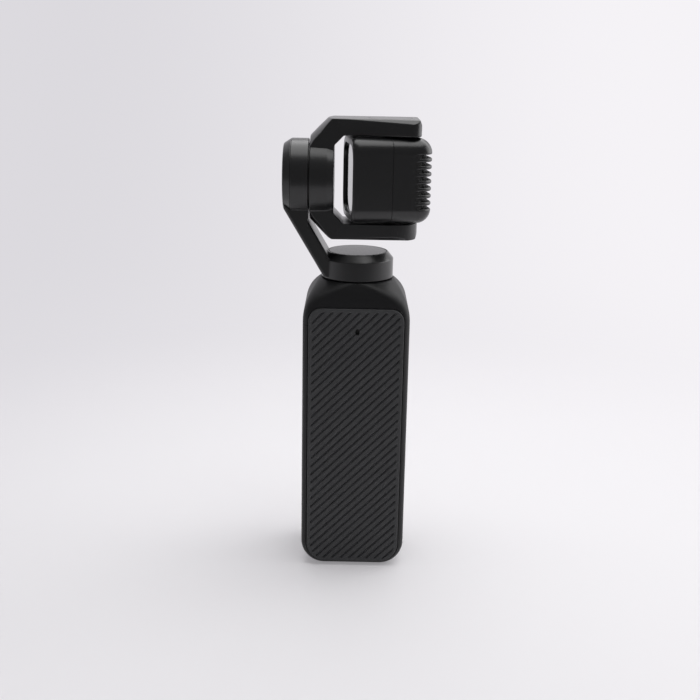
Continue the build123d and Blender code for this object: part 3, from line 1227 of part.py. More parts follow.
NODES = {
    "handle_housing": handle_housing,
    "rear_cover": rear_cover,
    "shoulder_cover": shoulder_cover,
    "grip_plate": grip_plate,
    "main_frame": main_frame,
    "battery_cell": battery_cell,
    "main_board": main_board,
    "board_screws": board_screws,
    "processor_shield": processor_shield,
    "usb_port": usb_port,
    "card_socket": card_socket,
    "speaker": speaker,
    "front_microphone": front_microphone,
    "control_board": control_board,
    "joystick_base": joystick_base,
    "record_switch": record_switch,
    "status_light": status_light,
    "housing_screws": housing_screws,
    "turntable_bushing": turntable_bushing,
    "pan_hub": pan_hub,
    "neck_screws": neck_screws,
    "pan_bearings": pan_bearings,
    "pan_stator": pan_stator,
    "screen_frame": screen_frame,
    "display_panel": display_panel,
    "screen_glass": screen_glass,
    "screen_spindle": screen_spindle,
    "spindle_retainer": spindle_retainer,
    "spindle_screws": spindle_screws,
    "joystick_ring": joystick_ring,
    "joystick_stem": joystick_stem,
    "joystick_cap": joystick_cap,
    "record_button": record_button,
    "pan_arm": pan_arm,
    "pan_cap": pan_cap,
    "pan_magnet_ring": pan_magnet_ring,
    "pan_shaft": pan_shaft,
    "roll_stator": roll_stator,
    "roll_bearings": roll_bearings,
    "roll_cover": roll_cover,
    "yoke_frame": yoke_frame,
    "roll_magnet_ring": roll_magnet_ring,
    "roll_shaft": roll_shaft,
    "tilt_stator": tilt_stator,
    "tilt_motor_cover": tilt_motor_cover,
    "tilt_bearings": tilt_bearings,
    "lower_arm_cover": lower_arm_cover,
    "head_front_shell": head_front_shell,
    "head_rear_shell": head_rear_shell,
    "window_glass": window_glass,
    "head_frame": head_frame,
    "sensor_board": sensor_board,
    "sensor_screws": sensor_screws,
    "image_sensor": image_sensor,
    "lens_barrel": lens_barrel,
    "lens_elements": lens_elements,
    "tilt_rotor": tilt_rotor,
    "tilt_shaft": tilt_shaft,
    "tilt_pivot_pin": tilt_pivot_pin,
}

os.makedirs("parts", exist_ok=True)
for node, build in NODES.items():
    save(node, build())
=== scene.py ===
"""Pocket gimbal camera: the visual model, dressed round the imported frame.

The classes hold their sizes in millimetres, in the frame's own axes: Z is up from the flat base, the
ribbed grip faces -Y, the turning screen faces +Y and the roll motor stands at -X. A mesh is written in
metres.
"""
from __future__ import annotations

import json
import logging
import math
from dataclasses import dataclass, field
from enum import Enum
from typing import Callable, Dict, List, Optional, Sequence, Tuple

import bmesh
import bpy
import numpy as np
from mathutils import Matrix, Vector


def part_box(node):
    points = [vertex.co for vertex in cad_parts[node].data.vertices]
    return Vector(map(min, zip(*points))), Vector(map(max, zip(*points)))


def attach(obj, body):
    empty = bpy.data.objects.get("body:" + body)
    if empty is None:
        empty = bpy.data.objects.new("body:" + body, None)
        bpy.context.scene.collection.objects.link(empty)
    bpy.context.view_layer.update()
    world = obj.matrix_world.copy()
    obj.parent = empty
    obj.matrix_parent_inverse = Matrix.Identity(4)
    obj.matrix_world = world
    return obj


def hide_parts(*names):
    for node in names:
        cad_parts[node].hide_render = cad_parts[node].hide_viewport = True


log = logging.getLogger("gimbal_camera")
MM = 0.001
# Radius of the last ring of points round a turned piece's axis.
POLE = 0.02
# Nodes of a bright slot that would shine through the gap under the stick's cap, and are finished black as
# painted shade.
PAINTED_SHADE_NODES = ("joystick_ring",)
# Painted shade: colour of the slots between the head's fins.
SLOT_PAINTED_SHADE = (0.002, 0.002, 0.002, 1)
SLOT_ROUGHNESS = 0.5
# Painted shade: colour of the grip's microphone hole.
HOLE_PAINTED_SHADE = (0.001, 0.001, 0.001, 1)
DISPLAY_SHADE = (0.012, 0.013, 0.016, 1)
COPPER = (0.45, 0.20, 0.07, 1)
TRACKS = (0.09, 0.16, 0.07, 1)
Colour = Tuple[float, float, float]
Span = Tuple[float, float]
Field = Callable[[np.ndarray], np.ndarray]
Value = object

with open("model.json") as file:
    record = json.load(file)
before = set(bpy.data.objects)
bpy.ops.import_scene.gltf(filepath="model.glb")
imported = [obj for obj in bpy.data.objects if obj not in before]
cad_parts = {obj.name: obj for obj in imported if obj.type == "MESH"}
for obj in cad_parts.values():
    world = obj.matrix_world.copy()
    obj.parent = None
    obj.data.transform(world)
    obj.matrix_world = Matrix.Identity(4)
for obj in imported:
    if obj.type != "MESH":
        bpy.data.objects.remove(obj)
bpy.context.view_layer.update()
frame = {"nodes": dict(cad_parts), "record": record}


def box_mm(node: str) -> Tuple[np.ndarray, np.ndarray]:
    """Lowest and highest corner of a CAD node at rest, in millimetres."""
    low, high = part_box(node)
    return np.array(low) / MM, np.array(high) / MM


def middle_mm(node: str) -> np.ndarray:
    """Middle of a CAD node's box at rest, in millimetres."""
    low, high = box_mm(node)
    return (low + high) / 2


def smoothstep(value: np.ndarray, low: float, high: float) -> np.ndarray:
    """Rise from 0 at low to 1 at high, by the cubic 3t^2 - 2t^3 of the share t of the way.

    Args:
        value: where the rise is taken.
        low: value at which it starts.
        high: value at which it ends.

    Returns:
        The rise at each value, between 0 and 1.
    """
    share = np.clip((value - low) / (high - low), 0.0, 1.0)
    return share * share * (3.0 - 2.0 * share)


def grid_faces(rows: int, columns: int, round_trip: bool = False) -> np.ndarray:
    """Quads between the neighbours of a grid of points that is stored row by row.

    Args:
        rows: number of rows.
        columns: number of points in a row.
        round_trip: whether the last column joins the first.

    Returns:
        An array of four point numbers a face.
    """
    across = columns if round_trip else columns - 1
    row, column = np.meshgrid(np.arange(rows - 1), np.arange(across), indexing="ij")
    right = (column + 1) % columns
    corners = (row * columns + column, row * columns + right)
    upper = ((row + 1) * columns + right, (row + 1) * columns + column)
    return np.stack([*corners, *upper], axis=-1).reshape(-1, 4)


def mesh_object(name: str, points: np.ndarray, faces: Sequence[Sequence[int]]) -> bpy.types.Object:
    """Make an object of points in millimetres and put it into the scene.

    Args:
        name: the piece's name.
        points: array of places, one row each.
        faces: point numbers of each face.

    Returns:
        The new object, at the origin and unturned.
    """
    mesh = bpy.data.meshes.new(name)
    corners = [[int(number) for number in face] for face in faces]
    mesh.from_pydata((np.asarray(points).reshape(-1, 3) * MM).tolist(), [], corners)
    mesh.update()
    piece = bpy.data.objects.new(name, mesh)
    bpy.context.scene.collection.objects.link(piece)
    return piece


def smooth(piece: bpy.types.Object, sharp_degrees: float) -> bpy.types.Object:
    """Shade a piece smooth, with sharp edges where its faces meet at more than an angle.

    Args:
        piece: the piece.
        sharp_degrees: the angle.

    Returns:
        The piece.
    """
    mesh = piece.data
    mesh.polygons.foreach_set("use_smooth", np.ones(len(mesh.polygons), dtype=bool))
    mesh.set_sharp_from_angle(angle=math.radians(sharp_degrees))
    return piece


def closed(
    name: str, points: np.ndarray, faces: Sequence[Sequence[int]], sharp_degrees: float,
) -> bpy.types.Object:
    """Closed piece, with its points merged where they meet and its faces turned outwards.

    Args:
        name: the piece's name.
        points: array of places, one row each.
        faces: point numbers of each face.
        sharp_degrees: angle above which an edge is shaded sharp.

    Returns:
        The piece.
    """
    piece = mesh_object(name, points, faces)
    work = bmesh.new()
    work.from_mesh(piece.data)
    bmesh.ops.remove_doubles(work, verts=work.verts, dist=1e-7)
    bmesh.ops.recalc_face_normals(work, faces=work.faces)
    work.to_mesh(piece.data)
    work.free()
    return smooth(piece, sharp_degrees)


def skin(name: str, rings: np.ndarray, sharp_degrees: float = 40.0) -> bpy.types.Object:
    """Closed piece through rings of points, with a flat face over its first and last ring.

    Args:
        name: the piece's name.
        rings: array of rings, of points, of coordinates.
        sharp_degrees: angle above which an edge is shaded sharp.

    Returns:
        The piece.
    """
    count, around = rings.shape[:2]
    number = np.arange(count * around).reshape(count, around)
    faces = [*grid_faces(count, around, round_trip=True), number[0, ::-1], number[-1]]
    return closed(name, rings, faces, sharp_degrees)


def turned(
    name: str, profile: Sequence[Span], centre: Sequence[float], steps: int = 96,
) -> bpy.types.Object:
    """Piece turned about an axis along Y: a profile of (radius, height) carried round a circle.

    The point at angle t lies at the centre plus radius (sin t, cos t) in X and Z and height along Y.

    Args:
        name: the piece's name.
        profile: radius and height of each point, from one end of the axis to the other.
        centre: the place on the axis where the height is 0.
        steps: points round the circle.

    Returns:
        The piece.
    """
    radius, height = np.array(profile, dtype=float).T[:, :, None]
    turn = np.linspace(0.0, 2 * math.pi, steps, endpoint=False)
    points = np.stack([radius * np.sin(turn), height + 0 * turn, radius * np.cos(turn)], axis=-1)
    return skin(name, points + np.array(centre, dtype=float))


def rounded_profile(corners: Sequence[Tuple[float, float, float]], steps: int = 5) -> List[Span]:
    """Profile whose corners are rounded by an arc of their own radius.

    Each corner is replaced by the points of a quadratic curve that leaves its two sides at the radius
    from the corner, which is close to the arc for the right angles used here.

    Args:
        corners: the place of each corner, and its radius.
        steps: points on each rounded corner.

    Returns:
        The profile's points.
    """
    points: List[Span] = []
    share = np.linspace(0.0, 1.0, steps)[:, None]
    for number, (x, y, radius) in enumerate(corners):
        here = np.array([x, y])
        if radius <= 0 or number in (0, len(corners) - 1):
            points.append((x, y))
            continue
        before, after = np.array(corners[number - 1][:2]), np.array(corners[number + 1][:2])
        start = here + (before - here) / np.linalg.norm(before - here) * radius
        end = here + (after - here) / np.linalg.norm(after - here) * radius
        curve = start * (1 - share) ** 2 + 2 * here * share * (1 - share) + end * share**2
        points += [tuple(point) for point in curve]
    return points


class Wire:
    """An output socket of a node tree, with the arithmetic that the finishes use."""

    def __init__(self, shading: "Shading", socket: bpy.types.NodeSocket) -> None:
        """Hold a socket of a shading's tree."""
        self.shading = shading
        self.socket = socket

    def _maths(self, operation: str, *values: Value) -> "Wire":
        """Math node of the operation on one or two values."""
        return self.shading.wire("ShaderNodeMath", {"operation": operation}, dict(enumerate(values)))

    def __add__(self, other: Value) -> "Wire":
        """Sum."""
        return self._maths("ADD", self, other)

    def __mul__(self, other: Value) -> "Wire":
        """Product."""
        return self._maths("MULTIPLY", self, other)

    def __sub__(self, other: Value) -> "Wire":
        """Difference."""
        return self._maths("SUBTRACT", self, other)

    def __rsub__(self, other: Value) -> "Wire":
        """Difference from a number."""
        return self._maths("SUBTRACT", other, self)

    def absolute(self) -> "Wire":
        """Size without its sign."""
        return self._maths("ABSOLUTE", self)

    def fraction(self) -> "Wire":
        """What is over the next lower whole number."""
        return self._maths("FRACT", self)


class Shading:
    """Node tree of a material or world, made by one method that takes any node's type and inputs."""

    def __init__(self, owner: bpy.types.ID) -> None:
        """Start an empty tree in a new material or world.

        Args:
            owner: the material or world.
        """
        self.owner = owner
        owner.use_nodes = True
        self.tree = owner.node_tree
        self.tree.nodes.clear()

    def node(self, kind: str, settings: Dict[str, Value], inputs: Dict[Value, Value]) -> bpy.types.Node:
        """Add a node.

        Args:
            kind: the node's type.
            settings: its properties, set first; "stops" holds a ramp's places and colours.
            inputs: value or Wire of each input, by name or number.

        Returns:
            The node.
        """
        node = self.tree.nodes.new(kind)
        for name, value in settings.items():
            if name == "stops":
                ramp = node.color_ramp
                ramp.elements[0].position, ramp.elements[0].color = value[0][0], (*value[0][1], 1)
                ramp.elements[1].position, ramp.elements[1].color = value[-1][0], (*value[-1][1], 1)
                for place, colour in value[1:-1]:
                    ramp.elements.new(place).color = (*colour, 1)
            else:
                setattr(node, name, value)
        for name, value in inputs.items():
            if isinstance(value, Wire):
                self.tree.links.new(value.socket, node.inputs[name])
            else:
                node.inputs[name].default_value = value
        return node

    def wire(
        self, kind: str, settings: Dict[str, Value], inputs: Dict[Value, Value], output: Value = 0,
    ) -> Wire:
        """Output of a new node, as a Wire; the output is its name or number."""
        return Wire(self, self.node(kind, settings, inputs).outputs[output])

    def place(self) -> Wire:
        """Object coordinates, in metres."""
        return self.wire("ShaderNodeTexCoord", {}, {}, "Object")

    def axis(self, name: str) -> Wire:
        """One axis of the object coordinates, in metres."""
        return self.wire("ShaderNodeSeparateXYZ", {}, {0: self.place()}, name)

    def noise(self, size_mm: float, detail: float, stretch: Sequence[float] = (1, 1, 1)) -> Wire:
        """Smooth noise between 0 and 1.

        Args:
            size_mm: size of its patches.
            detail: how many finer layers it has.
            stretch: how much longer the patches are along each axis.

        Returns:
            The noise.
        """
        scale = [1 / factor for factor in stretch]
        where = self.wire("ShaderNodeMapping", {}, {"Vector": self.place(), "Scale": scale})
        inputs = {"Vector": where, "Scale": 1 / (size_mm * MM), "Detail": detail}
        return self.wire("ShaderNodeTexNoise", {}, inputs)

    def mix(self, share: Value, first: Value, second: Value) -> Wire:
        """Colour between two others."""
        inputs = {0: share, 6: first, 7: second}
        return self.wire("ShaderNodeMix", {"data_type": "RGBA"}, inputs, 2)

    def map(self, value: Wire, low: float, high: float, start: float, end: float) -> Wire:
        """Value carried from one range to another and held at its ends."""
        inputs = {"Value": value, "From Min": low, "From Max": high, "To Min": start, "To Max": end}
        return self.wire("ShaderNodeMapRange", {"interpolation_type": "SMOOTHSTEP"}, inputs)

    def inside(self, node: str, border_mm: float) -> Wire:
        """Mask of the upright rectangle inside a border of a CAD node's box.

        Args:
            node: the CAD node.
            border_mm: width of the border.

        Returns:
            The mask: 1 within the rectangle and 0 outside.
        """
        low, high = box_mm(node)
        soft = 0.1 * MM
        mask: Value = 1.0
        for name, first, last in (("X", low[0], high[0]), ("Z", low[2], high[2])):
            middle, half = (first + last) / 2 * MM, ((last - first) / 2 - border_mm) * MM
            away = (self.axis(name) - middle).absolute()
            mask = self.map(away, half - soft, half, 1.0, 0.0) * mask
        return mask

    def slots(self, shell: "RearShell") -> Wire:
        """Mask of the slots between the head's fins, where the colour is darkened as painted shade.

        The height counted in fin pitches has its slots' middles at the halves, and a slot reaches half
        its height to both sides of that.

        Args:
            shell: the finned shell.

        Returns:
            The mask: 1 in the slots, from their start to the back.
        """
        first = middle_mm("head_rear_shell")[2] - shell.slots / 2 * shell.fin_pitch
        count = (self.axis("Z") - first * MM) * (1 / (shell.fin_pitch * MM))
        away = (count.fraction() - 0.5).absolute()
        half, soft = shell.slot / 2 / shell.fin_pitch, 0.02
        inside = self.map(away, half - soft, half + 3 * soft, 1.0, 0.0)
        inside = inside * self.map(count, shell.slots - soft, shell.slots, 1.0, 0.0)
        inside = inside * self.map(count, 0.0, soft, 0.0, 1.0)
        start = (middle_mm("tilt_shaft")[0] + shell.slot_start) * MM
        return inside * self.map(self.axis("X"), start, start + shell.slot_fade * MM, 0.0, 1.0)

    def hole(self, plate: "GripPlate") -> Wire:
        """Mask of the oval microphone hole in the grip plate, where the colour is darkened as painted
        shade.

        Args:
            plate: the grip plate.

        Returns:
            The mask: 1 inside the hole, with a soft edge.
        """
        wide, tall = plate.hole_radius * MM, (plate.hole_radius + plate.hole_reach) * MM
        side = (self.axis("X") - plate.hole_side * MM) * (1 / wide)
        rise = (self.axis("Z") - plate.hole_height * MM) * (1 / tall)
        inner, outer = 0.8, 1.05
        return self.map(side * side + rise * rise, inner, outer, 1.0, 0.0)

    def lens(self, shell: "FrontShell") -> Wire:
        """Colour of the window by the distance from its middle: the lens seen through it, painted on the
        glass with a dark middle as painted shade, a bluish painted reflection of its coating and narrow
        lighter rings.

        Args:
            shell: the front shell, which holds the window.

        Returns:
            The colour.
        """
        glass = np.array([shell.recess - shell.front])
        middle = shell.place.points(glass, np.zeros(1), np.zeros(1))[0] * MM
        inputs = {0: self.place(), 1: middle.tolist()}
        away = self.wire("ShaderNodeVectorMath", {"operation": "DISTANCE"}, inputs, "Value")
        share = away * (1 / (shell.lens_opening * MM))
        return self.wire("ShaderNodeValToRGB", {"stops": shell.painted_lens_tones}, {0: share})

    def output(self, shader: Wire) -> bpy.types.Material:
        """Join a shader to the material's surface and return the material."""
        self.node("ShaderNodeOutputMaterial", {}, {"Surface": shader})
        return self.owner


class Texture(Enum):
    """The fine surface of a finish."""

    PLAIN = "plain"
    MOULDED = "moulded"
    PAINTED = "painted"
    BRUSHED = "brushed"
    WOUND = "wound"
    CIRCUIT = "circuit"
    DISPLAY = "display"
    FINNED = "finned"
    RIBBED = "ribbed"
    LENS = "lens"


@dataclass(frozen=True)
class Finish:
    """A surface finish: its colour, gloss and fine texture."""

    name: str
    colour: Colour
    roughness: float
    texture: Texture = Texture.PLAIN
    metallic: float = 0.0
    specular: float = 0.5
    coat: float = 0.0
    coat_roughness: float = 0.25
    grain_mm: float = 0.3
    grain_height_mm: float = 0.004
    mottle: float = 0.06
    mottle_mm: float = 9.0
    rough_spread: float = 0.10
    transmission: float = 0.0

    def material(self) -> bpy.types.Material:
        """The finish's material, made once and then reused."""
        return bpy.data.materials.get(self.name) or self._make()

    def _make(self) -> bpy.types.Material:
        """Make it: colour with slow mottling, and a fine grain as bump that the roughness varies with.

        Returns:
            The material.
        """
        shading = Shading(bpy.data.materials.new(self.name))
        slow = shading.noise(self.mottle_mm, 2.0)
        dark = (*[c * (1 - self.mottle) for c in self.colour], 1)
        light = (*[c * (1 + self.mottle) for c in self.colour], 1)
        colour = shading.mix(slow, dark, light)
        stretch = (8, 1, 1) if self.texture is Texture.BRUSHED else (1, 1, 1)
        fine = shading.noise(self.grain_mm, 4.0, stretch)
        rough = fine * self.rough_spread + (self.roughness - self.rough_spread / 2)
        if self.texture is Texture.CIRCUIT:
            tracks = shading.wire("ShaderNodeTexBrick", {}, {
                "Vector": shading.place(), "Scale": 1 / (4.0 * MM), "Mortar Size": 0.03,
                "Color1": light, "Color2": dark, "Mortar": TRACKS,
            })
            colour = shading.mix(0.5, colour, tracks)
        coat: Value = self.coat
        if self.texture is Texture.FINNED:
            slots = shading.slots(RearShell())
            # Painted shade: the slots between the fins are darkened.
            colour = shading.mix(slots, colour, SLOT_PAINTED_SHADE)
            rough = rough + slots * SLOT_ROUGHNESS
            coat = (1.0 - slots) * self.coat
        if self.texture is Texture.RIBBED:
            # Painted shade: the microphone hole is darkened.
            colour = shading.mix(shading.hole(GripPlate()), colour, HOLE_PAINTED_SHADE)
        if self.texture is Texture.LENS:
            # The lens behind the window is painted on the glass: painted shade in its middle and a painted
            # reflection of its coating.
            colour = shading.lens(FrontShell())
        if self.texture is Texture.DISPLAY:
            colour = shading.mix(shading.inside("screen_glass", Screen().border), colour, DISPLAY_SHADE)
        if self.texture is Texture.WOUND:
            bands = shading.wire("ShaderNodeTexWave", {}, {
                "Vector": shading.place(), "Scale": 1 / (1.4 * MM), "Distortion": 0.4,
            })
            colour = shading.mix(bands, dark, COPPER)
        inputs: Dict[Value, Value] = {
            "Base Color": colour, "Roughness": rough, "Metallic": self.metallic,
            "Specular IOR Level": self.specular, "Coat Weight": coat, "Coat Roughness": self.coat_roughness,
            "Transmission Weight": self.transmission,
        }
        if self.texture is not Texture.PLAIN:
            inputs["Normal"] = shading.wire("ShaderNodeBump", {}, {
                "Height": fine, "Strength": 1.0, "Distance": self.grain_height_mm * MM,
            })
        return shading.output(shading.wire("ShaderNodeBsdfPrincipled", {}, inputs))


FINISHES: Dict[str, Finish] = {
    "shell_black": Finish("moulded_shell", (0.0070, 0.0073, 0.0079), 0.46, Texture.MOULDED, specular=0.3),
    "grip_grey": Finish("grip_rubber", (0.049, 0.050, 0.052), 0.5, Texture.RIBBED, specular=0.3),
    "arm_black": Finish(
        "painted_casting", (0.0055, 0.0057, 0.0062), 0.30, Texture.PAINTED, specular=0.45, coat=0.25,
        grain_height_mm=0.001,
    ),
    "fin_black": Finish(
        "finned_casting", (0.0055, 0.0057, 0.0062), 0.30, Texture.FINNED, specular=0.45, coat=0.25,
        grain_height_mm=0.001,
    ),
    "cap_satin": Finish("satin_cap", (0.035, 0.034, 0.034), 0.25, Texture.PAINTED, grain_height_mm=0.001),
    "screen_glass": Finish(
        "cover_glass", (0.003, 0.003, 0.004), 0.07, Texture.DISPLAY, coat=0.6, coat_roughness=0.05,
        grain_height_mm=0.0,
    ),
    "window_glass": Finish(
        "front_window", (0.006, 0.006, 0.006), 0.05, Texture.LENS, specular=0.6, coat=1.0,
        coat_roughness=0.05, grain_height_mm=0.0,
    ),
    "optical_glass": Finish("lens_glass", (0.75, 0.80, 0.85), 0.02, transmission=1.0),
    "display": Finish("display_module", (0.006, 0.007, 0.010), 0.12),
    "button_black": Finish("button_plastic", (0.010, 0.010, 0.011), 0.45, Texture.MOULDED, specular=0.35),
    "record_red": Finish("record_button_red", (0.42, 0.016, 0.014), 0.35, Texture.MOULDED),
    "frame_metal": Finish("cast_frame", (0.50, 0.51, 0.52), 0.45, Texture.BRUSHED, metallic=1.0),
    "steel": Finish("plain_steel", (0.56, 0.55, 0.53), 0.28, Texture.BRUSHED, metallic=1.0),
    "magnet": Finish("coated_magnet", (0.012, 0.012, 0.013), 0.4),
    "coil_core": Finish("wound_core", (0.12, 0.06, 0.03), 0.5, Texture.WOUND),
    "board_green": Finish("circuit_board", (0.012, 0.055, 0.028), 0.38, Texture.CIRCUIT),
    "cell_wrap": Finish("cell_wrap", (0.045, 0.05, 0.055), 0.35, Texture.MOULDED),
    "light_clear": Finish("light_pipe", (0.80, 0.82, 0.84), 0.12, transmission=0.6),
}


def dress(piece: bpy.types.Object, slot: str, body: str, *nodes: str) -> bpy.types.Object:
    """Give a new piece its finish and tie it to the frame.

    Args:
        piece: the piece.
        slot: the record's material slot.
        body: the CAD body that it moves with.
        nodes: the CAD nodes that it stands for.

    Returns:
        The piece.
    """
    piece.data.materials.clear()
    piece.data.materials.append(FINISHES[slot].material())
    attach(piece, body)
    if nodes:
        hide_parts(*nodes)
    log.info("%s rides on %s", piece.name, body)
    return piece


def softened(
    node: str, body: str, slot: str, width_mm: float, shift: Optional[Field] = None,
) -> bpy.types.Object:
    """Copy of a CAD node whose loose triangles are merged and whose sharp edges get a small round.

    Args:
        node: the CAD node.
        body: the body that it moves with.
        slot: the record's material slot.
        width_mm: width of the round along the edges.
        shift: how far each of an array of places in millimetres is moved, where the form is adjusted.

    Returns:
        The piece.
    """
    sharp_degrees = 32.0
    source = frame["nodes"][node]
    piece = bpy.data.objects.new(f"{node}_finished", source.data.copy())
    bpy.context.scene.collection.objects.link(piece)
    if shift is not None:
        places = np.empty(len(piece.data.vertices) * 3, dtype=np.float32)
        piece.data.vertices.foreach_get("co", places)
        places = places.reshape(-1, 3)
        piece.data.vertices.foreach_set("co", (places + shift(places / MM) * MM).ravel())
    work = bmesh.new()
    work.from_mesh(piece.data)
    bmesh.ops.remove_doubles(work, verts=work.verts, dist=1e-6)
    bmesh.ops.dissolve_limit(work, angle_limit=math.radians(0.4), verts=work.verts, edges=work.edges)
    work.to_mesh(piece.data)
    work.free()
    smooth(piece, sharp_degrees)
    bevel = piece.modifiers.new("edges", "BEVEL")
    bevel.width = width_mm * MM
    bevel.segments = 2
    bevel.limit_method = "ANGLE"
    bevel.angle_limit = math.radians(sharp_degrees)
    bevel.use_clamp_overlap = False
    bevel.miter_outer = "MITER_ARC"
    bevel.harden_normals = True
    flat = piece.modifiers.new("flat_faces", "WEIGHTED_NORMAL")
    flat.keep_sharp = True
    return dress(piece, slot, body, node)


def framed(rim: np.ndarray, inner: np.ndarray) -> np.ndarray:
    """Values of a rim, of what it encloses, and of the rim again in reverse."""
    return np.concatenate([rim, inner, rim[::-1]])


@dataclass
class GripPlate:
    """Ribbed front plate of the handle, as a height field over its outline."""

    top_radius: float = 4.0
    bottom_radius: float = 6.0
    pitch: float = 1.92
    slope_degrees: float = 45.0
    groove: float = 0.28
    groove_floor: float = 0.10
    depth: float = 0.5
    border: float = 1.0
    border_fade: Span = (-0.1, 0.35)
    columns: int = 168
    rows: int = 470
    hole_height: float = 77.2
    hole_side: float = 0.4
    hole_radius: float = 0.55
    hole_reach: float = 0.35
    hole_margin: float = 1.1
    hole_depth: float = 1.0
    rim: Tuple[Span, ...] = ((0.0, 1.2), (0.0, 0.30), (0.05, 0.12), (0.14, 0.03), (0.30, 0.0))

    def half_width(self, height: np.ndarray, inset: np.ndarray, ends: Span, half: float) -> np.ndarray:
        """Half width of the outline moved inwards: the full one less what its corner arcs take.

        At a distance t past the start of an arc of radius r, the arc takes r - sqrt(r^2 - t^2).

        Args:
            height: heights at which the outline is asked for.
            inset: how far it is moved inwards.
            ends: heights of the plate's lower and upper end.
            half: half of the plate's width.

        Returns:
            The half width at each height.
        """
        low, high = ends
        wide = half - inset
        lower, upper = height - low - inset, high - inset - height
        for radius, edge in ((self.bottom_radius, lower), (self.top_radius, upper)):
            corner = radius - inset
            past = np.clip(corner - edge, 0.0, corner)
            wide = wide - (corner - np.sqrt(corner * corner - past * past))
        return wide

    def relief(self, x: np.ndarray, z: np.ndarray, edge: np.ndarray, middle: float) -> np.ndarray:
        """Depth below the plate's face: diagonal grooves inside the border, and the microphone's hole.

        With t the distance across the ribs to the nearest groove's middle, the groove's depth is the
        full one times 1 - smoothstep(t) from its floor to its edge, and it fades in behind the border.

        Args:
            x: places across the plate.
            z: heights.
            edge: distance of each place to the outline.
            middle: height of the plate's middle.

        Returns:
            The depth at each place.
        """
        slope = math.radians(self.slope_degrees)
        across = (z - middle) * math.cos(slope) - x * math.sin(slope)
        offset = np.abs((across / self.pitch) % 1.0 - 0.5) * self.pitch
        grooves = self.depth * (1 - smoothstep(offset, self.groove_floor, self.groove + self.groove_floor))
        relief = grooves * smoothstep(edge - self.border, *self.border_fade)
        rise = np.clip(np.abs(z - self.hole_height) - self.hole_reach, 0.0, None)
        away = np.hypot(x - self.hole_side, rise)
        faded = relief * smoothstep(away, self.hole_radius, self.hole_margin)
        return np.where(away < self.hole_radius, self.hole_depth, faded)

    def build(self) -> bpy.types.Object:
        """Make the plate on a grid whose rows and columns follow its outline.

        Returns:
            The piece.
        """
        low_corner, high_corner = box_mm("grip_plate")
        low, high = float(low_corner[2]), float(high_corner[2])
        half, face = float(high_corner[0]), float(low_corner[1])
        rim_inset, rim_depth = np.array(self.rim).T
        last = rim_inset[-1]
        inner = np.linspace(low + last, high - last, self.rows)[1:-1]
        z = np.concatenate([low + rim_inset, inner, high - rim_inset[::-1]])
        share = np.linspace(-1.0, 1.0, self.columns)[1:-1]
        inset = framed(rim_inset, np.full(len(share), last))
        rim_side = np.ones(len(rim_inset))
        side = np.concatenate([-rim_side, share, rim_side])
        height, turn = np.meshgrid(z, side, indexing="ij")
        x = turn * self.half_width(height, inset[None, :], (low, high), half)
        outline = self.half_width(height, np.zeros_like(x), (low, high), half)
        edge = np.minimum(outline - np.abs(x), np.minimum(height - low, high - height))
        row_depth, column_depth = (framed(rim_depth, np.zeros(len(places))) for places in (inner, share))
        depth = np.maximum(row_depth[:, None], column_depth[None, :])
        depth = np.maximum(depth, self.relief(x, height, edge, (low + high) / 2))
        points = np.stack([x, face + depth, height], axis=-1)
        rows, columns = x.shape
        number = np.arange(rows * columns).reshape(rows, columns)
        border = np.concatenate([number[0], number[1:, -1], number[-1, -2::-1], number[-2:0:-1, 0]])
        piece = closed("ribbed_grip", points, [*grid_faces(rows, columns), border[::-1]], 50.0)
        return dress(piece, "grip_grey", "handle", "grip_plate")


@dataclass
class Handle:
    """Handle: its shells with softened edges, and the ribbed grip."""

    edge: float = 0.22
    neck_edge: float = 0.132
    grip: GripPlate = field(default_factory=GripPlate)

    def build(self) -> None:
        """Make the handle's pieces."""
        for node, width in (
            ("handle_housing", self.edge), ("rear_cover", self.edge),
            ("shoulder_cover", self.neck_edge), ("turntable_bushing", self.neck_edge),
        ):
            softened(node, "handle", "shell_black", width)
        self.grip.build()


